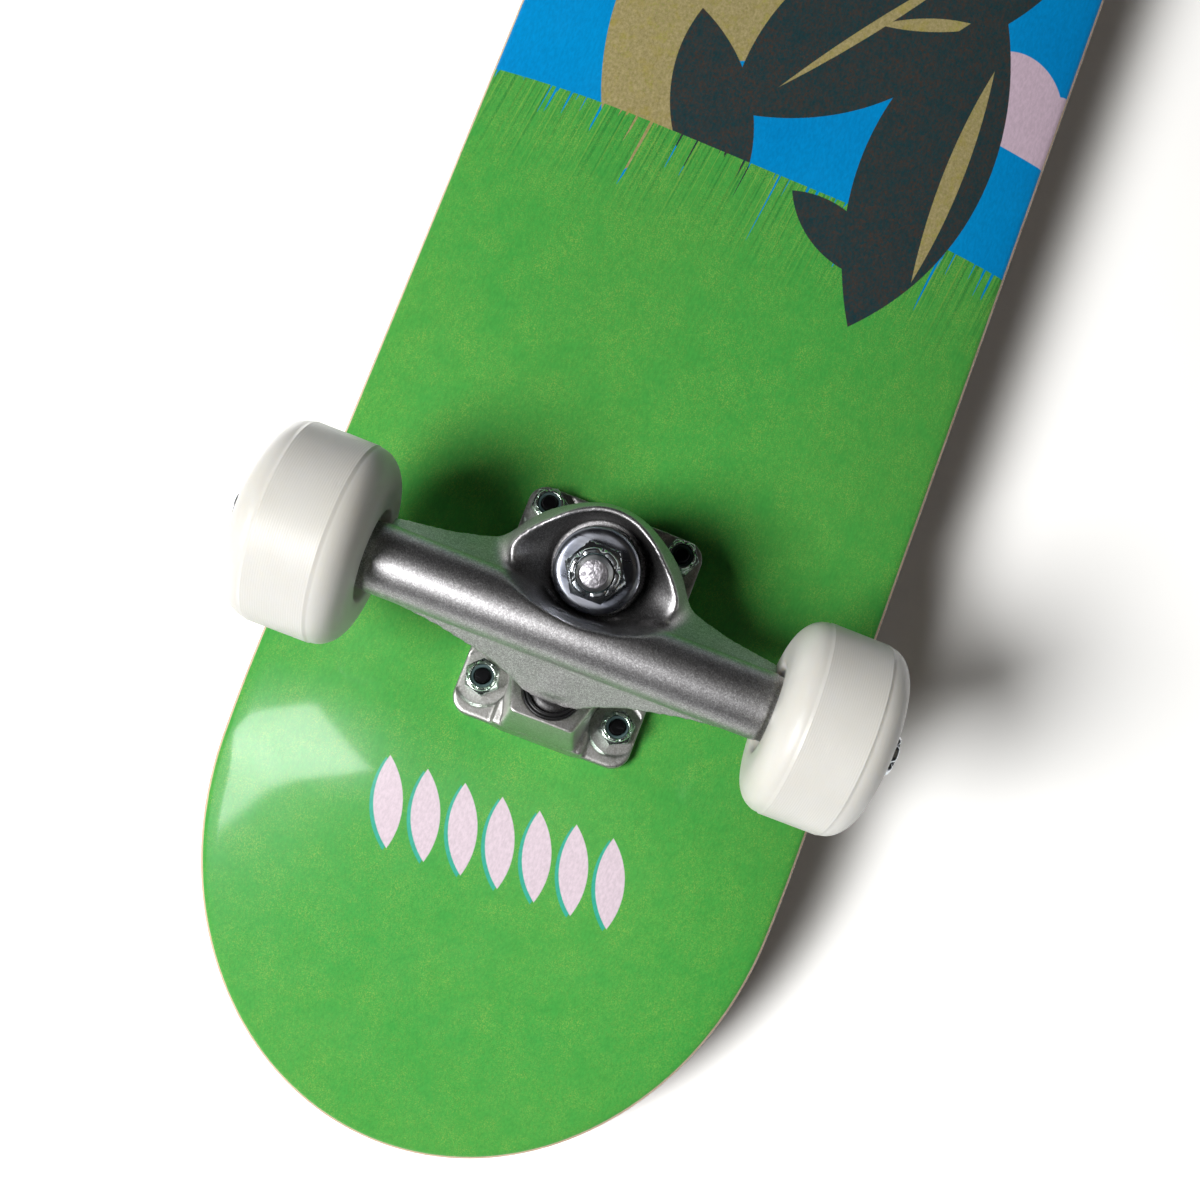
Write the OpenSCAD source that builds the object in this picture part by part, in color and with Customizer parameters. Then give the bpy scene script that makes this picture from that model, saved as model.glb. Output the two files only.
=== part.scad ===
// Skateboard: a seven-ply popsicle deck on two sprung trucks and four wheels with 608 bearings.
// +X runs towards the nose, +Y towards the rider's left, +Z up. The origin is on the ground at mid-length.

/* [Deck] */
// Overall length of the deck
deck_length = 723; // [700:1:760]
// Width of the deck
deck_width = 174; // [170:1:190]
// Thickness of the seven plies
deck_thickness = 10.5; // [9.5:0.5:12]
// Length of each rounded end of the outline
outline_end = 102; // [85:1:110]
// Rise of the long edges above the flat middle
concave_depth = 6.5; // [3:0.5:9]
// Half-width of the flat middle
flat_half = 32; // [28:1:36]
// Angle of the nose and tail kicks
kick_angle = 20; // [14:1:23]
// Radius of the bend into each kick
kick_radius = 110; // [80:5:140]
// Thickness of the grip tape
grip_thickness = 0.8; // [0.6:0.1:1.2]

/* [Wheelbase] */
// Distance between the inner mounting bolts of the two trucks
wheelbase = 318; // [300:1:330]
// Distance from the tail's tip to its outer mounting bolts
tail_length = 145; // [135:1:150]

/* [Truck] */
// Lengthwise spacing of the mounting bolts
hole_pitch_x = 53.98; // [53.5:0.01:54.5]
// Crosswise spacing of the mounting bolts
hole_pitch_y = 41.28; // [41:0.01:41.6]
// Height of the axle below the deck
truck_height = 51; // [50:0.5:53]
// Distance of the axle outboard of the middle of the bolts
axle_offset = 12.5; // [12.5:0.5:14]
// Width of the hanger between its end faces
hanger_width = 113; // [105:1:114]
// Lean of the kingpin from the vertical
kingpin_lean = 16; // [14:1:17]
// Radius of the hanger's barrel
barrel_r = 9.3; // [9:0.1:9.6]

/* [Wheels] */
// Diameter of each wheel
wheel_d = 53; // [50:1:54]
// Width of each wheel
wheel_width = 31; // [30:0.5:32]
// Width of the flat tread
tread_width = 16.5; // [14:0.5:19]

/* [Hidden] */
$fn = 48;
hull_fn = 32;
through = 200;
left = 1;
right = -1;

// Deck
half_width = deck_width / 2;
axle_z = wheel_d / 2;
deck_bottom = axle_z + truck_height;
tail_x = deck_length / 2 - tail_length - hole_pitch_x / 2;
nose_x = hole_pitch_x + wheelbase - tail_x;
kick_margin = 12;
tail_kick_start = tail_x + hole_pitch_x / 2 + kick_margin;
nose_kick_start = nose_x + hole_pitch_x / 2 + kick_margin;
kick_bend = kick_radius * sin(kick_angle);
concave_fade_length = 90;
concave_at_tip = 0.3;
end_steps = 12;
end_sweep = 86;
bend_steps = 5;
side_stations = [1, 0.94, 0.85, 0.74, 0.6, 0.48];

// Mounting hardware
bolt_r = 2.42;
bolt_hole_r = 2.7;
bolt_head_r = 4.7;
bolt_head_h = 3;
bolt_length = 22.2;
bolt_nut_af = 9.53;
bolt_nut_h = 5;
bolt_collar_h = 1.4;
grip_hole_r = 4.9;
plate_h = 4.5;

// Baseplate, seen with the deck's underside as its floor
plate_inboard = -33.5;
plate_outboard = 38.5;
plate_half_width = 27.3;
plate_corner_r = 5;
nut_pocket_r = 5.9;
boss_r = 13.5;
boss_depth = 20.8;
head_pocket_r = 8.43;
housing_half_top = 10.5;
housing_half_foot = 13;
housing_foot = [10, 38.5];
housing_top = [15.5, 34.9];
housing_top_h = 27.8;
slab = 1;
spine_half = 8;
spine_h = 10;

// Kingpin stack: distances along the kingpin from the point where its axis is 8 mm off the deck
kingpin_foot = [-17, 0, 8];
kingpin_r = 4.76;
kingpin_head_af = 14.29;
head_from = -4.3;
head_to = 1.2;
boss_seat = 5.2;
washer_t = 1.6;
washer_r = 11.5;
washer_rim_t = 1.2;
board_bushing_from = boss_seat + washer_t;
ring_from = 21;
ring_mid = 26;
ring_to = 31;
road_bushing_to = 43;
kingpin_nut_from = road_bushing_to + washer_t;
kingpin_nut_h = 6.8;
kingpin_collar_h = 2.2;
kingpin_end = 56;
bushing_neck_r = 10.2;
board_bushing_r = 12;
road_bushing_r = 11.7;
road_bushing_top_r = 10.2;
bushing_chamfer = 1.2;
running_gap = 0.05;
bushing_bore_r = kingpin_r + 0.2;
end_chamfer = 1;
collar_share = 0.46;

// Hanger
yoke_r = 16.5;
yoke_from = 19.3;
yoke_to = 38;
ring_hole_r = 7.6;
board_seat_r = 12.4;
eye_inboard = 13.8;
eye_outboard = 12.4;
eye_half_length = 23.5;
eye_depth = 40;
web_drop = 4;
web_half = 50;
web_end_r = 3;
collar_length = 3;
collar_r = 8.9;

// Cores of the hanger's webs, each sunk just inside the rounder shape that it joins
yoke_blend_r = yoke_r - 0.7;
yoke_blend_h = 14;
yoke_web_r = 14;
yoke_web_h = 8;
shoulder_half = 22;
inner_r = 4.6;
arm_u = 23;
arm_v = 34;
arm_half = 5;
sink = 0.6;

// Steering axis: square to the kingpin through the middle of the hanger's ring
ring_centre = kingpin_foot + ring_mid * [sin(kingpin_lean), 0, cos(kingpin_lean)];
pivot_u = 27;
pivot_centre = [pivot_u, 0, ring_centre[2] - (pivot_u - ring_centre[0]) * tan(kingpin_lean)];
pin_tilt = 18;
pivot_ball_r = 6.3;
pin_r = 4.8;
pin_length = 12;
cup_r = 8.2;
cup_floor_r = 6.5;
cup_floor = 2;
cup_mouth = 4.2;
cup_mouth_r = 6.9;
cup_height = pivot_ball_r + cup_floor + cup_mouth;

// Axle and wheel stack, measured outboard from the hanger's end face
axle_r = 4;
axle_stub = 33.5;
thread_length = 12;
thread_r = 3.97;
washer_stack = 1;
bearing_w = 7;
bearing_r = 11;
bearing_bore_r = 4.01;
spacer_length = 10;
spacer_r = 5;
inner_bearing_at = washer_stack;
outer_bearing_at = washer_stack + bearing_w + spacer_length;
outer_washer_at = outer_bearing_at + bearing_w;
nut_at = outer_washer_at + washer_stack;
axle_nut_af = 12.7;
axle_nut_h = 5;
axle_collar_h = 2;
speed_washer_r = 5.6;
wheel_middle = washer_stack + bearing_w + spacer_length / 2;

// Wheel profile
wheel_r = wheel_d / 2;
face_r = 17;
hub_r = 9.2;
mouth_r = 12.4;
shoulder_steps = 8;

// Bearing
ball_count = 7;
ball_r = 1.984;
ball_pitch_r = 7.5;
race_r = 2.05;
outer_land_r = 9.05;
inner_land_r = 5.95;
shield_seat_r = 9.6;
shield_seat = 1.1;
shield_inset = 0.4;
shield_t = 0.35;
shield_bore_r = 6.2;
cage_inner_r = 6.7;
cage_outer_r = 8.3;
cage_h = 2.2;
pocket_r = 2.03;

// ---- Deck surface ----

// Rise of a kick at a distance past its start
function kick_rise(d) =
    d <= 0 ? 0 :
    d < kick_bend ? kick_radius - sqrt(kick_radius * kick_radius - d * d) :
    kick_radius * (1 - cos(kick_angle)) + (d - kick_bend) * tan(kick_angle);

// Slope of a kick at the same distance
function kick_slope(d) =
    d <= 0 ? 0 :
    d < kick_bend ? tan(asin(d / kick_radius)) :
    tan(kick_angle);

// Distance past the start of the nearer kick
function past_kick(x) = x > 0 ? x - nose_kick_start : -x - tail_kick_start;

// Half-width of the outline
function outline_half(x) =
    let (into_end = abs(x) - (deck_length / 2 - outline_end))
    into_end <= 0 ? half_width : half_width * sqrt(max(0, 1 - pow(into_end / outline_end, 2)));

// Share of the full concave kept at a distance past the kick's start
function concave_share(d) =
    d <= 0 ? 1 : d >= concave_fade_length ? concave_at_tip :
    1 - (1 - concave_at_tip) * (1 - cos(180 * d / concave_fade_length)) / 2;

// Rise of the concave at a distance from the centreline
function concave(y) =
    abs(y) <= flat_half ? 0 :
    concave_depth * pow((abs(y) - flat_half) / (half_width - flat_half), 2);

// Underside of the deck
function underside(x, y) =
    deck_bottom + kick_rise(past_kick(x)) + concave_share(past_kick(x)) * concave(y);

// Vertical distance through a layer of thickness t, which is greater where the kick slopes
function through_layer(x, t) = t * sqrt(1 + pow(kick_slope(past_kick(x)), 2));

// Stations along the deck from the middle of one end's outline to its tip
end_stations = [
    for (step = [0:end_steps])
        deck_length / 2 - outline_end + outline_end * sin(end_sweep * step / end_steps)
];
tail_stations = [for (x = end_stations) -x];
tail_bend_stations = [for (step = [0:bend_steps - 1]) -tail_kick_start - kick_bend * step / bend_steps];
nose_bend_stations = [for (step = [0:bend_steps - 1]) nose_kick_start + kick_bend * step / bend_steps];

function reversed(list) = [for (i = [len(list) - 1:-1:0]) list[i]];
function below(list, limit) = [for (x = list) if (x < limit) x];
function above(list, limit) = [for (x = list) if (x > limit) x];

length_stations = concat(
    reversed(tail_stations),
    above(reversed(tail_bend_stations), tail_stations[0]),
    below(nose_bend_stations, end_stations[0]),
    end_stations
);

// Stations across the deck, as shares of its half-width, with lines along both sides of the flat middle
flat_share = flat_half / half_width;
width_stations = concat(
    [for (share = side_stations) -share],
    [-flat_share, 0, flat_share],
    reversed(side_stations)
);

// One layer that follows the deck's curves, from height low to height high above its underside
module layer(low, high) {
    columns = len(length_stations);
    rows = len(width_stations);
    function place(i, j, lift) =
        let (x = length_stations[i])
        let (y = outline_half(x) * width_stations[j])
        [x, y, underside(x, y) + through_layer(x, lift)];
    points = concat(
        [for (i = [0:columns - 1]) for (j = [0:rows - 1]) place(i, j, low)],
        [for (i = [0:columns - 1]) for (j = [0:rows - 1]) place(i, j, high)]
    );
    lid = columns * rows;
    function at(i, j, top) = top * lid + i * rows + j;
    faces = concat(
        [for (i = [0:columns - 2]) for (j = [0:rows - 2]) for (half = [0, 1])
            half == 0 ? [at(i, j, 0), at(i + 1, j, 0), at(i + 1, j + 1, 0)]
                : [at(i, j, 0), at(i + 1, j + 1, 0), at(i, j + 1, 0)]],
        [for (i = [0:columns - 2]) for (j = [0:rows - 2]) for (half = [0, 1])
            half == 0 ? [at(i, j, 1), at(i + 1, j + 1, 1), at(i + 1, j, 1)]
                : [at(i, j, 1), at(i, j + 1, 1), at(i + 1, j + 1, 1)]],
        [for (i = [0:columns - 2]) for (half = [0, 1])
            half == 0 ? [at(i, 0, 0), at(i, 0, 1), at(i + 1, 0, 1)]
                : [at(i, 0, 0), at(i + 1, 0, 1), at(i + 1, 0, 0)]],
        [for (i = [0:columns - 2]) for (half = [0, 1])
            half == 0 ? [at(i, rows - 1, 0), at(i + 1, rows - 1, 1), at(i, rows - 1, 1)]
                : [at(i, rows - 1, 0), at(i + 1, rows - 1, 0), at(i + 1, rows - 1, 1)]],
        [for (j = [0:rows - 2]) for (half = [0, 1])
            half == 0 ? [at(0, j, 0), at(0, j + 1, 1), at(0, j, 1)]
                : [at(0, j, 0), at(0, j + 1, 0), at(0, j + 1, 1)]],
        [for (j = [0:rows - 2]) for (half = [0, 1])
            half == 0 ? [at(columns - 1, j, 0), at(columns - 1, j, 1), at(columns - 1, j + 1, 1)]
                : [at(columns - 1, j, 0), at(columns - 1, j + 1, 1), at(columns - 1, j + 1, 0)]]
    );
    polyhedron(points, faces, convexity = 6);
}

// Places children at the four mounting bolts of both trucks
module at_deck_bolts() {
    for (truck_x = [-tail_x, nose_x])
        for (dx = [-1, 1])
            for (dy = [-1, 1])
                translate([truck_x + dx * hole_pitch_x / 2, dy * hole_pitch_y / 2, deck_bottom])
                    children();
}

module deck() {
    color("burlywood")
        difference() {
            layer(0, deck_thickness);
            at_deck_bolts() {
                translate([0, 0, -1]) cylinder(h = deck_thickness + 2, r = bolt_hole_r);
                translate([0, 0, deck_thickness - bolt_head_h])
                    cylinder(h = bolt_head_h, r1 = bolt_r + running_gap, r2 = bolt_head_r + running_gap);
            }
        }
}

module grip_tape() {
    color("black")
        difference() {
            layer(deck_thickness, deck_thickness + grip_thickness);
            at_deck_bolts() translate([0, 0, deck_thickness - 1])
                cylinder(h = grip_thickness + 2, r = grip_hole_r);
        }
}

// ---- Truck frame: X outboard from the middle of the bolts, Z away from the deck's underside ----

module nose_truck() {
    translate([nose_x, 0, deck_bottom]) rotate([180, 0, 0]) children();
}

module tail_truck() {
    translate([-tail_x, 0, deck_bottom]) rotate([0, 180, 0]) children();
}

// Z runs along the kingpin
module along_kingpin(from = 0) {
    translate(kingpin_foot) rotate([0, kingpin_lean, 0]) translate([0, 0, from]) children();
}

// Z runs up the pivot pin, from the centre of its ball
module along_pin() {
    translate(pivot_centre) rotate([0, -pin_tilt, 0]) children();
}

// Z runs along the axle
module along_axle(u = axle_offset, v = truck_height) {
    translate([u, 0, v]) rotate([90, 0, 0]) children();
}

module at_truck_bolts() {
    for (dx = [-1, 1])
        for (dy = [-1, 1])
            translate([dx * hole_pitch_x / 2, dy * hole_pitch_y / 2, 0]) children();
}

// Turns a half-profile of [radius, height] points about Z
module turned(profile) {
    rotate_extrude() polygon(profile);
}

module plate_outline() {
    for (u = [plate_inboard + plate_corner_r, plate_outboard - plate_corner_r])
        for (y = [-1, 1])
            translate([u, y * (plate_half_width - plate_corner_r)]) circle(r = plate_corner_r);
    translate([plate_inboard + plate_corner_r, -plate_half_width])
        square([plate_outboard - plate_inboard - 2 * plate_corner_r, 2 * plate_half_width]);
    translate([plate_inboard, plate_corner_r - plate_half_width])
        square([plate_outboard - plate_inboard, 2 * (plate_half_width - plate_corner_r)]);
}

module pivot_housing() {
    hull() {
        translate([housing_foot[0], -housing_half_foot, 0])
            cube([housing_foot[1] - housing_foot[0], 2 * housing_half_foot, slab]);
        translate([housing_top[1], -housing_half_top, housing_top_h])
            rotate([0, -pin_tilt, 0])
                translate([housing_top[0] - housing_top[1], 0, -slab])
                    cube([housing_top[1] - housing_top[0], 2 * housing_half_top, slab]);
    }
}

module baseplate() {
    color("silver")
        difference() {
            union() {
                linear_extrude(plate_h) plate_outline();
                pivot_housing();
                translate([kingpin_foot[0], -spine_half, 0])
                    cube([housing_top[0] - kingpin_foot[0], 2 * spine_half, spine_h]);
                intersection() {
                    along_kingpin(boss_seat - boss_depth) cylinder(h = boss_depth, r = boss_r);
                    translate([plate_inboard, -plate_half_width, 0])
                        cube([through, 2 * plate_half_width, through]);
                }
            }
            at_truck_bolts() translate([0, 0, -1]) cylinder(h = plate_h + bolt_nut_h + 2, r = bolt_hole_r);
            at_truck_bolts() translate([0, 0, plate_h]) cylinder(h = through, r = nut_pocket_r);
            along_kingpin(-through / 2) cylinder(h = through, r = kingpin_r + running_gap);
            along_kingpin(head_to - boss_depth) cylinder(h = boss_depth, r = head_pocket_r);
            along_pin() {
                translate([0, 0, -pivot_ball_r - cup_floor])
                    cylinder(h = cup_height, r1 = cup_floor_r, r2 = cup_r);
                translate([0, 0, cup_mouth]) cylinder(h = through, r = cup_r);
            }
        }
}

module pivot_cup() {
    color("black")
        along_pin()
            difference() {
                translate([0, 0, -pivot_ball_r - cup_floor])
                    cylinder(h = cup_height, r1 = cup_floor_r, r2 = cup_r);
                sphere(r = pivot_ball_r + running_gap);
                cylinder(h = cup_mouth, r1 = pivot_ball_r + running_gap, r2 = cup_mouth_r);
            }
}

module kingpin() {
    color("gainsboro")
        along_kingpin() {
            translate([0, 0, head_from])
                cylinder(h = head_to - head_from, r = kingpin_head_af / sqrt(3), $fn = 6);
            translate([0, 0, head_to]) cylinder(h = kingpin_end - head_to - end_chamfer, r = kingpin_r);
            translate([0, 0, kingpin_end - end_chamfer])
                cylinder(h = end_chamfer, r1 = kingpin_r, r2 = kingpin_r - end_chamfer);
        }
}

// A hexagonal lock nut with its collar, standing on Z = 0
module lock_nut(across_flats, height, collar_h, bore_r) {
    difference() {
        union() {
            cylinder(h = height, r = across_flats / sqrt(3), $fn = 6);
            cylinder(h = height + collar_h, r = across_flats * collar_share);
        }
        translate([0, 0, -1]) cylinder(h = height + collar_h + 2, r = bore_r);
    }
}

module kingpin_nut() {
    color("gainsboro")
        along_kingpin(kingpin_nut_from)
            lock_nut(kingpin_head_af, kingpin_nut_h, kingpin_collar_h, kingpin_r);
}

// One cup washer with its rim turned towards +Z
module cup_washer() {
    turned([
        [kingpin_r + running_gap, 0],
        [washer_r - washer_rim_t, 0],
        [washer_r, washer_rim_t],
        [washer_r, washer_t + washer_rim_t],
        [washer_r - washer_rim_t, washer_t + washer_rim_t],
        [washer_r - washer_rim_t, washer_t],
        [kingpin_r + running_gap, washer_t]
    ]);
}

module cup_washers() {
    color("gainsboro") {
        along_kingpin(boss_seat) cup_washer();
        along_kingpin(kingpin_nut_from) mirror([0, 0, 1]) cup_washer();
    }
}

module boardside_bushing() {
    height = ring_from - board_bushing_from;
    color("dimgray")
        along_kingpin(board_bushing_from)
            turned([
                [bushing_bore_r, 0],
                [bushing_neck_r, 0],
                [bushing_neck_r, washer_rim_t],
                [board_bushing_r, washer_rim_t + bushing_chamfer],
                [board_bushing_r, height - bushing_chamfer],
                [board_bushing_r - bushing_chamfer, height],
                [bushing_bore_r, height]
            ]);
}

module roadside_bushing() {
    height = road_bushing_to - ring_to;
    color("dimgray")
        along_kingpin(ring_to)
            turned([
                [bushing_bore_r, 0],
                [road_bushing_r - bushing_chamfer, 0],
                [road_bushing_r, bushing_chamfer],
                [road_bushing_top_r, height - washer_rim_t],
                [road_bushing_top_r, height],
                [bushing_bore_r, height]
            ]);
}

// Radius of an arc that rises by depth over the eye's whole length
function eye_arc_r(depth) = (pow(eye_half_length, 2) + depth * depth) / (2 * depth);

// The eye's outline: an inboard arc and a flatter outboard arc that meet at its two corners
module eye_outline() {
    intersection() {
        translate([eye_outboard - eye_arc_r(eye_outboard), 0]) circle(r = eye_arc_r(eye_outboard));
        translate([eye_arc_r(eye_inboard) - eye_inboard, 0]) circle(r = eye_arc_r(eye_inboard));
    }
}

// A rounded bar along the axle's direction
module bar(u, v, r, half) {
    along_axle(u, v) cylinder(h = 2 * half, r = r, center = true, $fn = hull_fn);
}

module hanger() {
    color("darkgray")
        difference() {
            union() {
                along_axle() cylinder(h = hanger_width - 2 * collar_length, r = barrel_r, center = true);
                along_axle() cylinder(h = hanger_width, r = collar_r, center = true);
                along_kingpin(yoke_from) cylinder(h = yoke_to - yoke_from, r = yoke_r);
                hull() {
                    along_kingpin(yoke_from + sink)
                        cylinder(h = yoke_blend_h, r = yoke_blend_r, $fn = hull_fn);
                    bar(axle_offset, truck_height - web_drop, inner_r, shoulder_half);
                }
                hull() {
                    along_kingpin(ring_from + sink)
                        cylinder(h = yoke_web_h, r = yoke_web_r, $fn = hull_fn);
                    bar(axle_offset - web_drop, truck_height - web_drop, web_end_r, web_half);
                }
                hull() {
                    bar(axle_offset + web_drop, truck_height - web_drop, web_end_r, web_half);
                    bar(arm_u, arm_v, arm_half, arm_half);
                }
                hull() {
                    bar(axle_offset + slab, truck_height - web_drop, inner_r, 2 * arm_half);
                    along_pin() translate([0, 0, pin_length])
                        cylinder(h = slab, r = pin_r + slab, $fn = hull_fn);
                }
                along_pin() cylinder(h = pin_length + slab / 2, r = pin_r);
                along_pin() sphere(r = pivot_ball_r);
            }
            along_kingpin(-through / 2) cylinder(h = through, r = ring_hole_r);
            along_kingpin(ring_from - through) cylinder(h = through, r = board_seat_r);
            along_kingpin(ring_to) linear_extrude(eye_depth) eye_outline();
            along_axle() cylinder(h = through, r = axle_r, center = true);
        }
}

module axle() {
    half = hanger_width / 2 + axle_stub;
    color("gainsboro")
        along_axle() {
            cylinder(h = 2 * (half - thread_length), r = axle_r, center = true);
            cylinder(h = 2 * (half - end_chamfer), r = thread_r, center = true);
            for (turn = [0, 180])
                rotate([turn, 0, 0])
                    translate([0, 0, half - end_chamfer])
                        cylinder(h = end_chamfer, r1 = thread_r, r2 = thread_r - end_chamfer);
        }
}

module mounting_bolts() {
    color("black")
        at_truck_bolts()
            translate([0, 0, -deck_thickness]) {
                cylinder(h = bolt_head_h, r1 = bolt_head_r, r2 = bolt_r);
                cylinder(h = bolt_length, r = bolt_r);
            }
}

module mounting_nuts() {
    color("gainsboro")
        at_truck_bolts()
            translate([0, 0, plate_h]) lock_nut(bolt_nut_af, bolt_nut_h, bolt_collar_h, bolt_r);
}

// ---- Wheel frame: Z runs outboard along the axle from the hanger's end face ----

module at_wheel(x, side) {
    translate([x, side * hanger_width / 2, axle_z]) rotate([-side * 90, 0, 0]) children();
}

module nose_wheel(side) {
    at_wheel(nose_x + axle_offset, side) children();
}

module tail_wheel(side) {
    at_wheel(-tail_x - axle_offset, side) children();
}

module at_bearings() {
    for (z = [inner_bearing_at, outer_bearing_at])
        translate([0, 0, z]) children();
}

// One shoulder of the wheel, as points from the side face to the tread
shoulder = [
    for (step = [0:shoulder_steps])
        let (a = 90 * step / shoulder_steps)
        [face_r + (wheel_r - face_r) * sin(a), wheel_width / 2 - (wheel_width - tread_width) / 2 * (1 - cos(a))]
];

module wheel() {
    half = wheel_width / 2;
    seat = bearing_w + spacer_length / 2;
    outer_half = concat(
        [[hub_r, spacer_length / 2], [bearing_r, spacer_length / 2], [bearing_r, seat], [mouth_r, half]],
        shoulder
    );
    color("ivory")
        translate([0, 0, wheel_middle])
            turned(concat(outer_half, [for (p = reversed(outer_half)) [p[0], -p[1]]]));
}

module race_groove() {
    translate([0, 0, bearing_w / 2])
        rotate_extrude() translate([ball_pitch_r, 0]) circle(r = race_r);
}

module bearing_outer_rings() {
    color("silver")
        at_bearings()
            difference() {
                turned([
                    [outer_land_r, shield_seat],
                    [shield_seat_r, shield_seat],
                    [shield_seat_r, 0],
                    [bearing_r, 0],
                    [bearing_r, bearing_w],
                    [shield_seat_r, bearing_w],
                    [shield_seat_r, bearing_w - shield_seat],
                    [outer_land_r, bearing_w - shield_seat]
                ]);
                race_groove();
            }
}

module bearing_inner_rings() {
    color("silver")
        at_bearings()
            difference() {
                cylinder(h = bearing_w, r = inner_land_r);
                translate([0, 0, -1]) cylinder(h = bearing_w + 2, r = bearing_bore_r);
                race_groove();
            }
}

module bearing_shields() {
    color("gainsboro")
        at_bearings()
            for (z = [shield_inset, bearing_w - shield_inset - shield_t])
                translate([0, 0, z])
                    difference() {
                        cylinder(h = shield_t, r = shield_seat_r);
                        translate([0, 0, -1]) cylinder(h = shield_t + 2, r = shield_bore_r);
                    }
}

module at_balls() {
    for (ball = [0:ball_count - 1])
        rotate([0, 0, 360 * ball / ball_count])
            translate([ball_pitch_r, 0, bearing_w / 2]) children();
}

module bearing_balls() {
    color("silver")
        at_bearings() at_balls() sphere(r = ball_r);
}

module bearing_cages() {
    color("khaki")
        at_bearings()
            difference() {
                translate([0, 0, bearing_w / 2])
                    difference() {
                        cylinder(h = cage_h, r = cage_outer_r);
                        translate([0, 0, -1]) cylinder(h = cage_h + 2, r = cage_inner_r);
                    }
                at_balls() sphere(r = pocket_r);
            }
}

module bearing_spacer() {
    color("silver")
        translate([0, 0, inner_bearing_at + bearing_w])
            difference() {
                cylinder(h = spacer_length, r = spacer_r);
                translate([0, 0, -1]) cylinder(h = spacer_length + 2, r = bearing_bore_r);
            }
}

module speed_washers() {
    color("silver")
        for (z = [0, outer_washer_at])
            translate([0, 0, z])
                difference() {
                    cylinder(h = washer_stack, r = speed_washer_r);
                    translate([0, 0, -1]) cylinder(h = washer_stack + 2, r = bearing_bore_r);
                }
}

module axle_nut() {
    color("gainsboro")
        translate([0, 0, nut_at]) lock_nut(axle_nut_af, axle_nut_h, axle_collar_h, thread_r);
}

// ---- Assembly ----

deck();
grip_tape();

nose_truck() baseplate();  // nose_baseplate
nose_truck() pivot_cup();  // nose_pivot_cup
nose_truck() kingpin();  // nose_kingpin
nose_truck() kingpin_nut();  // nose_kingpin_nut
nose_truck() cup_washers();  // nose_cup_washers
nose_truck() boardside_bushing();  // nose_boardside_bushing
nose_truck() roadside_bushing();  // nose_roadside_bushing
nose_truck() hanger();  // nose_hanger
nose_truck() axle();  // nose_axle
nose_truck() mounting_bolts();  // nose_mounting_bolts
nose_truck() mounting_nuts();  // nose_mounting_nuts

tail_truck() baseplate();  // tail_baseplate
tail_truck() pivot_cup();  // tail_pivot_cup
tail_truck() kingpin();  // tail_kingpin
tail_truck() kingpin_nut();  // tail_kingpin_nut
tail_truck() cup_washers();  // tail_cup_washers
tail_truck() boardside_bushing();  // tail_boardside_bushing
tail_truck() roadside_bushing();  // tail_roadside_bushing
tail_truck() hanger();  // tail_hanger
tail_truck() axle();  // tail_axle
tail_truck() mounting_bolts();  // tail_mounting_bolts
tail_truck() mounting_nuts();  // tail_mounting_nuts

nose_wheel(left) wheel();  // nose_left_wheel
nose_wheel(left) bearing_outer_rings();  // nose_left_bearing_outer_rings
nose_wheel(left) bearing_shields();  // nose_left_bearing_shields
nose_wheel(left) bearing_balls();  // nose_left_bearing_balls
nose_wheel(left) bearing_cages();  // nose_left_bearing_cages
nose_wheel(left) bearing_inner_rings();  // nose_left_bearing_inner_rings
nose_wheel(left) bearing_spacer();  // nose_left_bearing_spacer
nose_wheel(left) speed_washers();  // nose_left_speed_washers
nose_wheel(left) axle_nut();  // nose_left_axle_nut

nose_wheel(right) wheel();  // nose_right_wheel
nose_wheel(right) bearing_outer_rings();  // nose_right_bearing_outer_rings
nose_wheel(right) bearing_shields();  // nose_right_bearing_shields
nose_wheel(right) bearing_balls();  // nose_right_bearing_balls
nose_wheel(right) bearing_cages();  // nose_right_bearing_cages
nose_wheel(right) bearing_inner_rings();  // nose_right_bearing_inner_rings
nose_wheel(right) bearing_spacer();  // nose_right_bearing_spacer
nose_wheel(right) speed_washers();  // nose_right_speed_washers
nose_wheel(right) axle_nut();  // nose_right_axle_nut

tail_wheel(left) wheel();  // tail_left_wheel
tail_wheel(left) bearing_outer_rings();  // tail_left_bearing_outer_rings
tail_wheel(left) bearing_shields();  // tail_left_bearing_shields
tail_wheel(left) bearing_balls();  // tail_left_bearing_balls
tail_wheel(left) bearing_cages();  // tail_left_bearing_cages
tail_wheel(left) bearing_inner_rings();  // tail_left_bearing_inner_rings
tail_wheel(left) bearing_spacer();  // tail_left_bearing_spacer
tail_wheel(left) speed_washers();  // tail_left_speed_washers
tail_wheel(left) axle_nut();  // tail_left_axle_nut

tail_wheel(right) wheel();  // tail_right_wheel
tail_wheel(right) bearing_outer_rings();  // tail_right_bearing_outer_rings
tail_wheel(right) bearing_shields();  // tail_right_bearing_shields
tail_wheel(right) bearing_balls();  // tail_right_bearing_balls
tail_wheel(right) bearing_cages();  // tail_right_bearing_cages
tail_wheel(right) bearing_inner_rings();  // tail_right_bearing_inner_rings
tail_wheel(right) bearing_spacer();  // tail_right_bearing_spacer
tail_wheel(right) speed_washers();  // tail_right_speed_washers
tail_wheel(right) axle_nut();  // tail_right_axle_nut
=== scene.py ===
import itertools
import math

import bmesh
import bpy
import numpy as np
from mathutils import Matrix, Vector


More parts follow.
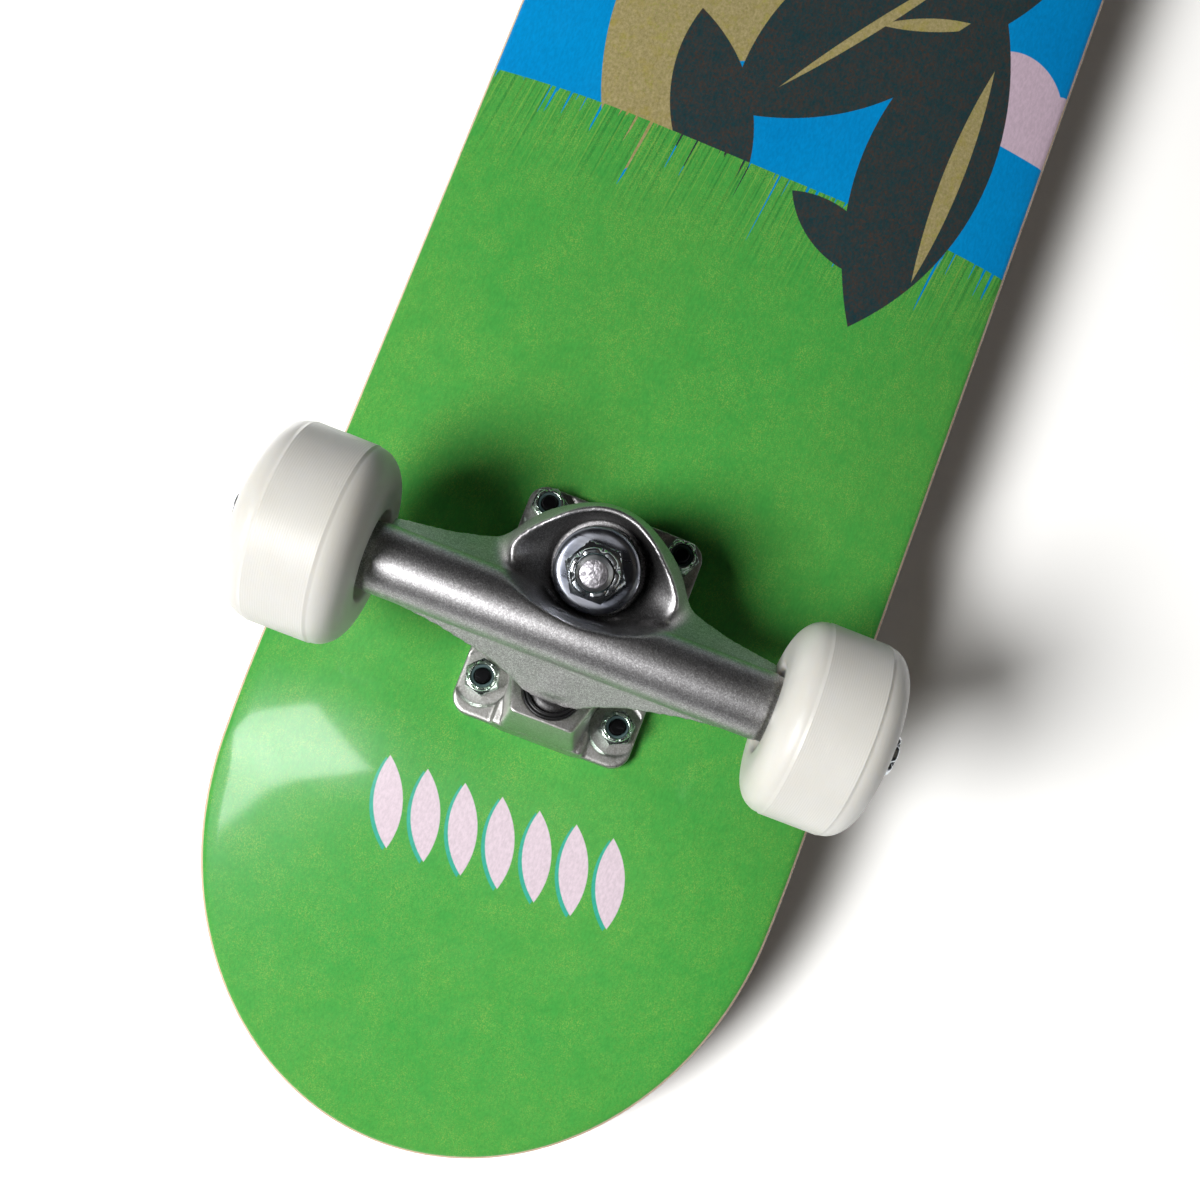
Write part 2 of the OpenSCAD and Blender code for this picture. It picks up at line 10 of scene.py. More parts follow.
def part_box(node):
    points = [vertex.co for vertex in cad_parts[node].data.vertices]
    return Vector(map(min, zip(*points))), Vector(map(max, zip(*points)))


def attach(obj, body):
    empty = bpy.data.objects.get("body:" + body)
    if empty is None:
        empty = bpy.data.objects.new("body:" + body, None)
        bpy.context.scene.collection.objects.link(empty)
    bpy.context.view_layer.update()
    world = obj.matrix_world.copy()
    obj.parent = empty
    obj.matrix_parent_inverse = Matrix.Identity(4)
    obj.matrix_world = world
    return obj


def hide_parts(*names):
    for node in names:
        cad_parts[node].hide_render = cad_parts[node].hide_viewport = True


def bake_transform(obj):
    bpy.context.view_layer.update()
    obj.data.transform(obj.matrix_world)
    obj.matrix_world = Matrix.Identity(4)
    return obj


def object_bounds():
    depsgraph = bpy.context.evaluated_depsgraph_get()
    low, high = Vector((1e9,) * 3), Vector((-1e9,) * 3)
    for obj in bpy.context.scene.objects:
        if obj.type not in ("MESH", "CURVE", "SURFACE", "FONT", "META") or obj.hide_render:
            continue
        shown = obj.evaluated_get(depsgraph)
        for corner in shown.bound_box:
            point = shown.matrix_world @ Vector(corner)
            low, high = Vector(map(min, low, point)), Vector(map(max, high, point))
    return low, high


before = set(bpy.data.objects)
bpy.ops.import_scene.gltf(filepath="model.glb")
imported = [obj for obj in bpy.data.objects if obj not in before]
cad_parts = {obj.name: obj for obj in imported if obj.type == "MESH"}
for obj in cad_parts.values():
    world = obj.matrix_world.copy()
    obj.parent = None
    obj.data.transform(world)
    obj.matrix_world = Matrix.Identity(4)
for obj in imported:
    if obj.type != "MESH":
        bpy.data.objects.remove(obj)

# ---------------------------------------------------------------- frame and sizes

MM = 0.001
ENDS = ("nose", "tail")
SIDES = {"left": 1, "right": -1}


def extent(node, axis):
    """The low and high ends of a CAD node's box along an axis, in mm."""
    low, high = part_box(node)
    return low[axis] / MM, high[axis] / MM


CAD_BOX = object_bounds()
UNDERSIDE = extent("tail_baseplate", 2)[1]
BOLTS_X = {end: sum(extent(end + "_mounting_bolts", 0)) / 2 for end in ENDS}
AXLE_X = {end: sum(extent(end + "_axle", 0)) / 2 for end in ENDS}
DECK_HALF = extent("deck", 1)[1]
AXLE_HALF = extent("tail_axle", 1)[1]
HANGER_HALF = extent("tail_hanger", 1)[1]
WHEEL_R = extent("tail_left_wheel", 2)[1] / 2
TRUCK_HEIGHT = UNDERSIDE - WHEEL_R
AXLE_U = BOLTS_X["tail"] - AXLE_X["tail"]
TAIL = Vector((BOLTS_X["tail"] * MM, 0, UNDERSIDE * MM))

# Deck, in mm
LENGTH = 723.0
THICKNESS = 10.5
PLIES = 7
OUTLINE_END = 102.0
CONCAVE = 6.5
FLAT_HALF = 32.0
KICK_ANGLE = math.radians(20)
KICK_RADIUS = 110.0
KICK_MARGIN = 12.0
CONCAVE_FADE = 90.0
CONCAVE_AT_TIP = 0.3
HOLE_X = 53.98
HOLE_Y = 41.28
GRIP = 0.8

# Kingpin stack, as distances along the kingpin
LEAN = math.radians(16)
KINGPIN_FOOT = Vector((-17, 0, 8))
KINGPIN_R = 4.76
BOSS_SEAT = 5.2
WASHER_T = 1.6
WASHER_R = 11.5
RING_FROM = 21.0
RING_MID = 26.0
RING_TO = 31.0
ROAD_TOP = 43.0
RIM = 38.3
KINGPIN_END = 56.0
BUSHING_BORE = 5.0

# Pivot
PIVOT_U = 27.0
PIN_TILT = math.radians(18)
BALL_R = 6.3
PIN_R = 4.8
CUP_R = 8.2
CUP_FLOOR_R = 6.5
CUP_MOUTH = 4.2
STEER_LIMIT = math.radians(15)

# Baseplate and fastenings: nuts are measured across their flats
PLATE_H = 4.5
PLATE_U = (-33.5, 38.5)
PLATE_HALF = 27.3
BOLT_R = 2.42
KINGPIN_HEX = 14.29
AXLE_HEX = 12.7
BOLT_HEX = 9.53
COARSE_PITCH = 1.058
BOLT_PITCH = 0.794
AXIS_R = 0.01

# Wheel stack, outboard from the hanger's end face
BEARING_W = 7.0
SPACER = 10.0
BEARINGS_AT = (1.0, 1.0 + BEARING_W + SPACER)
NUT_AT = 26.0
WHEEL_MIDDLE = 13.0
WHEEL_W = 31.0
TREAD_W = 16.5


def lean_point(s):
    """The point of a truck's own frame that lies s along its kingpin."""
    return KINGPIN_FOOT + s * Vector((math.sin(LEAN), 0, math.cos(LEAN)))


RING = lean_point(RING_MID)
PIVOT = Vector((PIVOT_U, 0, RING.z - (PIVOT_U - RING.x) * math.tan(LEAN)))


def turned(degrees, axis):
    return Matrix.Rotation(math.radians(degrees), 4, axis)


def raised(z):
    return Matrix.Translation((0, 0, z))


def truck_frame(end):
    """From a truck's own frame, in mm with Z away from the deck, to the row's frame, in metres."""
    turn = turned(180, "X" if end == "nose" else "Y")
    return Matrix.Scale(MM, 4) @ Matrix.Translation((BOLTS_X[end], 0, UNDERSIDE)) @ turn


def along_kingpin(s=0.0):
    return Matrix.Translation(lean_point(s)) @ Matrix.Rotation(LEAN, 4, "Y")


def along_pin():
    return Matrix.Translation(PIVOT) @ Matrix.Rotation(-PIN_TILT, 4, "Y")


def steered(angle):
    """Turns a truck's hanger about the line from its pivot to the middle of its ring."""
    turn = Matrix.Rotation(angle, 4, RING - PIVOT)
    return Matrix.Translation(PIVOT) @ turn @ Matrix.Translation(-PIVOT)


def wheel_frame(end, side):
    """Z runs outboard along the axle from the hanger's end face, in mm."""
    place = Matrix.Translation((AXLE_X[end], SIDES[side] * HANGER_HALF, WHEEL_R))
    return Matrix.Scale(MM, 4) @ place @ turned(-SIDES[side] * 90, "X")


def truck_bolts():
    return [Vector((dx * HOLE_X / 2, dy * HOLE_Y / 2, 0)) for dx in (-1, 1) for dy in (-1, 1)]


# ---------------------------------------------------------------- mesh tools

class Build:
    """Collects points and faces, with a material index for each face."""

    def __init__(self):
        self.points = []
        self.faces = []
        self.kinds = []

    def add(self, points, faces, kind=0, place=Matrix.Identity(4)):
        start = len(self.points)
        flip = place.determinant() < 0
        self.points += [place @ Vector(p) for p in points]
        for face in faces:
            ring = [start + i for i in face]
            self.faces.append(ring[::-1] if flip else ring)
            self.kinds.append(kind)
        return self

    def mesh(self, name, place=Matrix.Identity(4)):
        data = bpy.data.meshes.new(name)
        data.from_pydata([place @ p for p in self.points], [], self.faces)
        data.polygons.foreach_set("material_index", self.kinds)
        if place.determinant() < 0:
            data.flip_normals()
        data.update()
        return data


def added(name, data):
    made = bpy.data.objects.new(name, data)
    bpy.context.collection.objects.link(made)
    return made


def show(name, data, materials, body, stands_for, sharp=38):
    """Adds a mesh as a piece that rides on a body. Spaces part the names of its materials."""
    piece = added(name, data)
    for material in materials.split():
        data.materials.append(MATERIAL[material])
    for polygon in data.polygons:
        polygon.use_smooth = True
    if sharp:
        data.set_sharp_from_angle(angle=math.radians(sharp))
    if body:
        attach(piece, body)
    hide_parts(stands_for)
    return piece


def lattice(columns, rows, round_columns=True, round_rows=True):
    """Quads over columns of points. Each way either closes into a ring or stays open."""
    faces = []
    for column in range(columns if round_columns else columns - 1):
        near = column * rows
        far = (column + 1) % columns * rows
        for row in range(rows if round_rows else rows - 1):
            following = (row + 1) % rows
            faces.append((near + row, near + following, far + following, far + row))
    return faces


def around(segments):
    """The cosine and sine of evenly spaced angles."""
    angles = [2 * math.pi * step / segments for step in range(segments)]
    return [(math.cos(a), math.sin(a)) for a in angles]


def lathe(profile, segments=64, closed=True):
    """Turns [radius, height] points about Z. A closed profile joins its last point to its first."""
    points = [(r * c, r * s, z) for c, s in around(segments) for r, z in profile]
    return points, lattice(segments, len(profile), round_rows=closed)


def arc(cx, cy, r, start, end, steps):
    """Points of an arc, with its angles in degrees."""
    angles = np.radians(np.linspace(start, end, steps + 1))
    return [(cx + r * math.cos(a), cy + r * math.sin(a)) for a in angles]


def rounded(profile, r, steps=3):
    """A closed profile with every corner rounded by r, or less where its sides are short."""
    out = []
    for i, corner in enumerate(profile):
        corner = Vector(corner)
        before = Vector(profile[i - 1]) - corner
        after = Vector(profile[(i + 1) % len(profile)]) - corner
        cut_by = min(r, before.length * 0.45, after.length * 0.45)
        start = corner + before.normalized() * cut_by
        end = corner + after.normalized() * cut_by
        for step in range(steps + 1):
            t = step / steps
            out.append(tuple((1 - t) ** 2 * start + 2 * t * (1 - t) * corner + t * t * end))
    return out


def solid(profile, segments=64, round_by=0.25, steps=3):
    return lathe(rounded(profile, round_by, steps), segments)


def rod(r, low, high, round_by):
    """A plain round bar between two heights."""
    return solid([(AXIS_R, low), (r, low), (r, high), (AXIS_R, high)], 48, round_by)


def thread(r, start, end, pitch, depth, segments, per_turn, taper):
    """A rod with a helical thread from start to end, closed at both ends, with a chamfered far end."""
    rows = max(2, int((end - start) / pitch * per_turn))
    points = []
    for row in range(rows + 1):
        z = start + (end - start) * row / rows
        limit = r - max(0.0, taper - (end - z)) * 0.8
        for step, (c, s) in enumerate(around(segments)):
            phase = (z / pitch - step / segments) % 1
            ridge = min(r - depth * abs(2 * phase - 1), limit)
            points.append((ridge * c, ridge * s, z))
    faces = lattice(rows + 1, segments, round_columns=False)
    faces.append(tuple(range(segments))[::-1])
    faces.append(tuple(rows * segments + step for step in range(segments)))
    return points, faces


def hex_body(across, height, bore_r):
    """A hexagon nut's body with chamfered corners at both ends and a bore."""
    segments = 96
    half = across / 2
    face_r = half * 0.9
    span = half / math.cos(math.pi / 6) - face_r
    rows = [(span * 0.58 * h, face_r + span * h) for h in (0.0, 0.2, 0.45, 0.75, 1.0)]
    rows += [(height - z, limit) for z, limit in reversed(rows)]
    points = []
    for step, (c, s) in enumerate(around(segments)):
        a = 2 * math.pi * step / segments
        flat = half / math.cos((a + math.pi / 6) % (math.pi / 3) - math.pi / 6)
        column = [(bore_r, height), (bore_r, 0.0)] + [(min(flat, limit), z) for z, limit in rows]
        points += [(r * c, r * s, z) for r, z in column]
    return points, lattice(segments, len(rows) + 2)


def lock_nut(build, place, across, height, collar_h, bore_r):
    """A hexagon nut of material 0, with a crimped collar that holds a nylon ring of material 1."""
    build.add(*hex_body(across, height, bore_r + 0.05), place=place)
    outer = across * 0.455
    lip = outer - across * 0.095
    top = height + collar_h
    profile = [(outer - 0.1, height - 0.4), (outer, height + 0.3), (outer, top - 0.8)]
    profile += arc(outer - 0.8, top - 0.8, 0.8, 0, 90, 4)[1:]
    profile += [(lip, top - 0.05), (lip - 0.15, top - 0.35), (lip, top - 0.7), (lip + 0.2, height - 0.4)]
    points, faces = lathe(profile, 72)
    crimped = []
    for x, y, z in points:
        r = math.hypot(x, y)
        dent = 0.5 + 0.5 * math.cos(6 * math.atan2(y, x))
        pull = 0.055 * across * dent ** 6 if z > top - 1.1 and r > lip + 0.2 else 0.0
        crimped.append((x * (1 - pull / r), y * (1 - pull / r), z - pull * 0.9))
    build.add(crimped, faces, place=place)
    ring = [(bore_r - 0.05, height - 0.3), (lip + 0.25, height - 0.3), (lip + 0.25, top - 0.65),
            (bore_r + 0.25, top - 0.65), (bore_r - 0.05, top - 0.95)]
    build.add(*solid(ring, 48, 0.15), kind=1, place=place)


# ---------------------------------------------------------------- cast shapes from distance fields

def surface_nets(field, low, step):
    """Points and quads of the zero level of a sampled distance field, which is negative inside."""
    cells = tuple(n - 1 for n in field.shape)
    total = np.zeros(cells + (3,), dtype=np.float32)
    hits = np.zeros(cells, dtype=np.float32)
    crossings = []
    for axis in range(3):
        a = np.take(field, range(field.shape[axis] - 1), axis=axis)
        b = np.take(field, range(1, field.shape[axis]), axis=axis)
        cross = (a < 0) != (b < 0)
        crossings.append((cross, a < 0))
        index = np.nonzero(cross)
        share = a[index] / (a[index] - b[index])
        spot = np.stack(index, axis=1).astype(np.float32)
        spot[:, axis] += share
        others = [k for k in range(3) if k != axis]
        for shift in itertools.product((0, 1), repeat=2):
            cell = [i.copy() for i in index]
            for k, s in zip(others, shift):
                cell[k] = cell[k] - s
            good = np.all([(cell[k] >= 0) & (cell[k] < cells[k]) for k in range(3)], axis=0)
            where = tuple(c[good] for c in cell)
            np.add.at(total, where, spot[good])
            np.add.at(hits, where, 1)
    used = hits > 0
    number = -np.ones(cells, dtype=np.int64)
    number[used] = np.arange(int(used.sum()))
    points = total[used] / hits[used][:, None] * step + np.array(low, dtype=np.float32)
    quads = []
    for axis in range(3):
        cross, from_inside = crossings[axis]
        index = np.nonzero(cross)
        b, c = [k for k in range(3) if k != axis]
        good = (index[b] > 0) & (index[c] > 0) & (index[b] < cells[b]) & (index[c] < cells[c])
        index = [i[good] for i in index]
        corners = []
        for sb, sc in ((1, 1), (0, 1), (0, 0), (1, 0)):
            cell = list(index)
            cell[b] = index[b] - sb
            cell[c] = index[c] - sc
            corners.append(number[tuple(cell)])
        quad = np.stack(corners, axis=1)
        outward = from_inside[tuple(index)]
        if axis == 1:
            outward = ~outward
        quad[~outward] = quad[~outward][:, ::-1]
        quads.append(quad)
    return points, np.concatenate(quads)

def relax(points, quads, rounds):
    """Laplacian smoothing that gives back what it shrinks."""
    edges = np.concatenate([quads[:, [i, (i + 1) % 4]] for i in range(4)])
    degree = np.bincount(edges.ravel(), minlength=len(points)).astype(np.float64)[:, None]
    for step in range(rounds):
        for factor in (0.5, -0.52):
            total = np.zeros_like(points, dtype=np.float64)
            np.add.at(total, edges[:, 0], points[edges[:, 1]])
            np.add.at(total, edges[:, 1], points[edges[:, 0]])
            points = points + factor * (total / degree - points)
    return points


def cast_mesh(shape, low, high, step, rounds):
    """The smoothed surface of a shape's field between two corners, as points and quads."""
    axes = [np.arange(a, b + step, step, dtype=np.float32) for a, b in zip(low, high)]
    field = shape(np.stack(np.meshgrid(*axes, indexing="ij"), axis=-1))
    points, quads = surface_nets(field, low, step)
    return relax(points, quads, rounds), quads


def join(a, b, k):
    """The union of two fields with a fillet of about k."""
    h = np.clip(0.5 + 0.5 * (b - a) / k, 0, 1)
    return b + (a - b) * h - k * h * (1 - h)


def cut(a, b, k):
    """Field a less field b, with its new edges rounded by about k."""
    return -join(-a, b, k)


def common(a, b, k):
    return -join(-a, -b, k)


def capped(side, ends):
    """The distance field of an outline drawn out between two ends."""
    return np.minimum(np.maximum(side, ends), 0) + np.hypot(np.maximum(side, 0), np.maximum(ends, 0))


def in_frame(p, place):
    """Points p in the frame that place puts in this one."""
    back = np.array(place.inverted(), dtype=np.float32)
    return p @ back[:3, :3].T + back[:3, 3]


def f_disc(q, low, high, r):
    """A cylinder about Z between two heights. Its radius may differ from height to height."""
    side = np.hypot(q[..., 0], q[..., 1]) - r
    return capped(side, np.abs(q[..., 2] - (low + high) / 2) - (high - low) / 2)


def f_bar(p, a, b, ra, rb):
    """A rod with round ends from a to b, tapering from ra to rb."""
    a = np.array(a, dtype=np.float32)
    line = np.array(b, dtype=np.float32) - a
    share = np.clip(((p - a) @ line) / float(line @ line), 0, 1)
    return np.linalg.norm(p - a - share[..., None] * line, axis=-1) - (ra + (rb - ra) * share)


def f_block(p, low, high, r):
    """A box with rounded edges."""
    low = np.array(low, dtype=np.float32)
    high = np.array(high, dtype=np.float32)
    q = np.abs(p - (low + high) / 2) - (high - low) / 2 + r
    return np.linalg.norm(np.maximum(q, 0), axis=-1) + np.minimum(q.max(axis=-1), 0) - r


def f_polygon(x, y, corners):
    """A 2D polygon's distance field."""
    nearest = np.full(x.shape, 1e9, dtype=np.float32)
    inside = np.zeros(x.shape, dtype=bool)
    corners = [np.array(c, dtype=np.float32) for c in corners]
    for i, a in enumerate(corners):
        b = corners[i - 1]
        edge = b - a
        wx = x - a[0]
        wy = y - a[1]
        share = np.clip((wx * edge[0] + wy * edge[1]) / float(edge @ edge), 0, 1)
        nearest = np.minimum(nearest, (wx - share * edge[0]) ** 2 + (wy - share * edge[1]) ** 2)
        if a[1] != b[1]:
            straddles = (a[1] > y) != (b[1] > y)
            inside ^= straddles & (x < (b[0] - a[0]) * (y - a[1]) / (b[1] - a[1]) + a[0])
    return np.sqrt(nearest) * np.where(inside, -1, 1)


def f_slab(p, start, end, outline, thick):
    """A flat plate from start to end in the X-Z plane: outline is [distance along, half-width] points."""
    along = (Vector(end) - Vector(start)).normalized()
    normal = Vector((-along.z, 0, along.x))
    rel = p - np.array(start, dtype=np.float32)
    corners = outline + [(d, -h) for d, h in reversed(outline)]
    flat = f_polygon(rel @ np.array(along, dtype=np.float32), p[..., 1], corners)
    return capped(flat, np.abs(rel @ np.array(normal, dtype=np.float32)) - thick / 2)


def eye_lens(e, y):
    """The eye's pointed outline, square to the kingpin: two arcs that meet at its corners."""
    half = 23.5
    corner = 3.6
    sides = []
    for depth, sign in ((6.7, 1), (16.3, -1)):
        r = (half * half + depth * depth) / (2 * depth)
        sides.append(np.hypot(e - corner - sign * (depth - r), y) - r)
    return common(*sides, 5.0)


def views_of(p):
    """The points about the kingpin and about the pivot's pin, and folded over the truck's middle."""
    folded = np.stack([p[..., 0], np.abs(p[..., 1]), p[..., 2]], axis=-1)
    return in_frame(p, along_kingpin()), in_frame(p, along_pin()), folded


def hanger_shape(p):
    k, pin, folded = views_of(p)
    about_axle = np.stack([p[..., 0] - AXLE_U, p[..., 2] - TRUCK_HEIGHT, p[..., 1]], axis=-1)

    def by_axle(x, y, z):
        return (AXLE_U + x, y, TRUCK_HEIGHT + z)

    barrel = f_disc(about_axle, -HANGER_HALF, HANGER_HALF, 8.9)
    barrel = join(barrel, f_disc(about_axle, -HANGER_HALF + 3, HANGER_HALF - 3, 9.25), 0.4)
    inboard = f_slab(p, by_axle(-6.0, 0, -4.5), by_axle(-17.5, 0, -19.0),
                     [(-3, 55), (9, 54.5), (11, 48.6), (13.3, 40.5), (17.5, 33), (21.7, 27), (24.6, 24),
                      (28, 20)], 4.6)
    outboard = f_slab(p, by_axle(6.4, 0, -5.0), (PIVOT.x - 0.3, 0, PIVOT.z + 9.0),
                      [(-4, 54), (0.2, 54), (3.4, 35), (6.2, 27), (8.8, 20), (13.4, 12.5), (17.4, 8),
                       (18.6, 5)], 3.6)
    floor = f_slab(p, by_axle(-4.0, 0, -11), (RING.x - 4, 0, RING.z - 3), [(0, 26), (8, 22), (14, 17)], 7)
    shoulder = f_bar(folded, by_axle(-3.5, 4, -7), by_axle(-3.5, 26, -5), 6.5, 4.0)
    arm = f_bar(p, by_axle(-1.5, 0, -6), (PIVOT.x - 4.6, 0, PIVOT.z + 10.6), 6.6, 4.6)
    rise = k[..., 2]
    lens = eye_lens(k[..., 0], k[..., 1])
    wall = common(lens - 1.0 - (RIM - rise) * 0.15, np.abs(rise - (RIM + 21) / 2) - (RIM - 21) / 2, 0.8)
    yoke = join(f_disc(k, 19.3, RIM, 16.6), wall, 3.0)
    body = barrel
    for part, fillet in ((inboard, 1.4), (outboard, 1.2), (floor, 3.0), (yoke, 3.5), (shoulder, 3.5),
                         (arm, 3.0)):
        body = join(body, part, fillet)

    # The eye: a bowl that narrows from the lens to a circle, round a flat seat for the bushing
    radial = np.hypot(k[..., 0], k[..., 1])
    eye = join(lens, common(radial - 15.1, k[..., 0] - 4.5, 1.0), 2.5)
    deep = np.clip((RIM - rise) / (RIM - RING_TO), 0, 1)
    bowl = (1 - deep) * eye + deep * (radial - 12.8) - np.maximum(rise - RIM, 0) * 0.16
    well = f_disc(k, RING_TO, RING_TO + 40, 12.6)
    body = cut(body, join(np.maximum(bowl, RING_TO - rise), well, 1.6), 0.9)
    for share in (-1, -0.5, 0.5, 1):
        washer = in_frame(p, steered(share * STEER_LIMIT) @ along_kingpin())
        body = cut(body, f_disc(washer, ROAD_TOP - 2.2, 90, WASHER_R + 0.6), 0.4)
    body = cut(body, f_disc(k, RING_FROM - 30, RING_FROM, 12.5), 0.7)
    body = cut(body, f_disc(k, -50, 80, 7.6), 0.6)
    ball = np.linalg.norm(pin, axis=-1) - BALL_R
    body = join(body, join(f_disc(pin, 0, 8.5, PIN_R - 0.6), ball, 0.6), 1.2)
    return cut(body, f_disc(about_axle, -80, 80, 4.02), 0.3)


def baseplate_shape(p):
    k, pin, folded = views_of(p)
    rise = p[..., 2]
    outline = f_block(p, (PLATE_U[0], -PLATE_HALF, -60), (PLATE_U[1], PLATE_HALF, 60), 5.6)
    up = np.clip(rise / 27, 0, 1)
    front = p[..., 0] - (38.9 - 3.9 * up)
    flank = folded[..., 1] - (12.1 - 2.8 * up) - np.clip(34.9 - p[..., 0], 0, 12) * 0.28
    back = (9.0 + 4.5 * up) - p[..., 0]
    roof = pin[..., 2] - (CUP_MOUTH - 0.9)
    housing = common(common(flank * 0.96, front, 1.6), common(back, roof, 1.0), 0.8)
    foot = common(common(folded[..., 1] - 14.2, back - 2, 1.0), common(front - 0.2, rise - 6.4, 1.0), 1.5)
    boss = join(f_disc(k, -16, BOSS_SEAT, 13.5), f_disc(k, -16, BOSS_SEAT - 3, 14.6), 1.5)
    spine = f_block(p, (-17, -8, -4), (15, 8, 10.5), 1.5)
    cheeks = f_block(folded, (-24, 8.5, -4), (24, 12.0, 8.2), 1.2)
    body = common(outline, rise - PLATE_H, 0.9)
    for part, fillet in ((housing, 1.2), (common(foot, outline, 0.6), 0.8),
                         (common(boss, outline, 0.6), 2.2), (spine, 2.2), (cheeks, 1.8)):
        body = join(body, part, fillet)
    for spot in truck_bolts():
        q = p - np.array(spot, dtype=np.float32)
        body = cut(body, f_disc(q, PLATE_H - 0.35, 60, 7.9), 0.5)
        body = cut(body, f_disc(q, -30, 60, 2.75), 0.2)
    low = -BALL_R - 2
    cup_r = CUP_FLOOR_R + (CUP_R - CUP_FLOOR_R) * np.clip((pin[..., 2] - low) / (CUP_MOUTH - low), 0, 1)
    socket = f_disc(pin, low, CUP_MOUTH, cup_r)
    body = cut(body, np.minimum(socket, f_disc(pin, CUP_MOUTH - 1, 60, CUP_R)), 0.3)
    body = cut(body, f_disc(k, -60, 60, KINGPIN_R + 0.1), 0.2)
    body = cut(body, f_disc(k, -60, 1.2, 8.5), 0.3)
    return np.maximum(body, -rise)


# ---------------------------------------------------------------- materials

class Paint:
    """A node material, with short ways to add its nodes."""

    def __init__(self, name):
        self.material = bpy.data.materials.new(name)
        self.material.use_nodes = True
        self.tree = self.material.node_tree
        self.tree.nodes.clear()
        self.output = self.node("ShaderNodeOutputMaterial")
        self.shader = self.node("ShaderNodeBsdfPrincipled")
        self.link(self.shader.outputs[0], self.output.inputs["Surface"])
        self.coords = self.node("ShaderNodeTexCoord").outputs["Object"]

    def node(self, kind, **settings):
        made = self.tree.nodes.new(kind)
        for key, value in settings.items():
            setattr(made, key, value)
        return made

    def link(self, source, target):
        self.tree.links.new(source, target)

    def feed(self, inputs, values):
        """Links or sets each input, found by its name or number."""
        for key, value in values.items():
            if isinstance(value, bpy.types.NodeSocket):
                self.link(value, inputs[key])
            else:
                inputs[key].default_value = value

    def math(self, operation, a, b):
        made = self.node("ShaderNodeMath", operation=operation)
        self.feed(made.inputs, {0: a, 1: b})
        return made.outputs[0]

    def vector(self, operation, a, b):
        made = self.node("ShaderNodeVectorMath", operation=operation)
        self.feed(made.inputs, {0: a, 1: b})
        return made.outputs["Value" if operation in ("DISTANCE", "DOT_PRODUCT") else "Vector"]

    def noise(self, scale, detail=2.0, rough=0.5, stretch=None):
        made = self.node("ShaderNodeTexNoise")
        place = self.vector("MULTIPLY", self.coords, stretch) if stretch else self.coords
        self.feed(made.inputs, {"Vector": place, "Scale": scale, "Detail": detail, "Roughness": rough})
        return made.outputs["Fac"]

    def stripes(self, along, scale, detail):
        """Noise that changes along one coordinate only."""
        made = self.node("ShaderNodeTexNoise", noise_dimensions="1D")
        self.feed(made.inputs, {"W": along, "Scale": scale, "Detail": detail})
        return made.outputs["Fac"]

    def grains(self, scale):
        """Three random numbers for each grain of a crystal texture, and the distance to its middle."""
        cells = self.node("ShaderNodeTexVoronoi", feature="F1")
        self.feed(cells.inputs, {"Vector": self.coords, "Scale": scale})
        return self.split(cells.outputs["Color"]), cells.outputs["Distance"]

    def split(self, colour):
        parts = self.node("ShaderNodeSeparateColor")
        self.link(colour, parts.inputs[0])
        return parts.outputs

    def ramp(self, value, low, high, out_low=0.0, out_high=1.0):
        made = self.node("ShaderNodeMapRange", clamp=True)
        self.feed(made.inputs, dict(enumerate((value, low, high, out_low, out_high))))
        return made.outputs[0]

    def mix(self, share, a, b, blend="MIX"):
        made = self.node("ShaderNodeMix", data_type="RGBA", blend_type=blend)
        self.feed(made.inputs, {"Factor": share, 6: a, 7: b})
        return made.outputs[2]

    def bump(self, height, strength, distance):
        made = self.node("ShaderNodeBump")
        self.feed(made.inputs, {"Height": height, "Strength": strength, "Distance": distance})
        return made.outputs[0]

    def fade(self, value, low, high, a, b, most=1.0):
        """Colour a where a value is low, and up to a share of colour b where it is high."""
        return self.mix(self.ramp(value, low, high, 0.0, most), a, b)

    def finish(self, **sockets):
        self.feed(self.shader.inputs, {key.replace("_", " "): value for key, value in sockets.items()})
        return self.material


class Metal(Paint):
    """A paint whose shader is all metal."""

    def finish(self, base, shine, bumps):
        return super().finish(Base_Color=base, Metallic=1.0, Roughness=shine, Normal=bumps)


def srgb(r, g, b):
    """A linear colour from display values of 0 to 255."""
    def linear(v):
        v /= 255
        return v / 12.92 if v <= 0.04045 else ((v + 0.055) / 1.055) ** 2.4
    return (linear(r), linear(g), linear(b), 1.0)


def darker(tone, share):
    return tuple(c * share for c in tone[:3]) + (1.0,)


def cast_aluminium(name, tone, rough, sparkle, grain):
    """Cast and blasted aluminium: a fine sparkling grain and faint staining."""
    metal = Metal(name)
    (bright, dull, shiny), _ = metal.grains(grain * 0.8)
    base = metal.fade(metal.noise(70, 3.0), 0.35, 0.7, tone, darker(tone, 0.86))
    base = metal.fade(bright, 0.3, 1.0, base, (0.95, 0.95, 0.96, 1), sparkle)
    base = metal.fade(dull, 0.3, 1.0, base, darker(tone, 0.50), sparkle)
    shine = metal.ramp(shiny, 0.0, 1.0, rough - 0.05, rough + 0.05)
    return metal.finish(base, shine, metal.bump(metal.noise(grain, 2.0, 0.6), 0.35, 0.00005))


def plated(name, tone, rough, tint, scratch=0.12):
    """Bright zinc plating: slight iridescent blotches, hairline scratches and duller patches."""
    metal = Metal(name)
    hair = metal.noise(700, 2.0, 0.6, stretch=(1.0, 0.18, 1.0))
    base = metal.fade(metal.noise(160), 0.4, 0.65, tone, tint)
    base = metal.fade(hair, 0.62, 0.8, base, (0.25, 0.25, 0.27, 1), scratch)
    shine = metal.ramp(hair, 0.3, 0.75, rough, rough + 0.16)
    return metal.finish(base, shine, metal.bump(hair, 0.12, 0.00008))


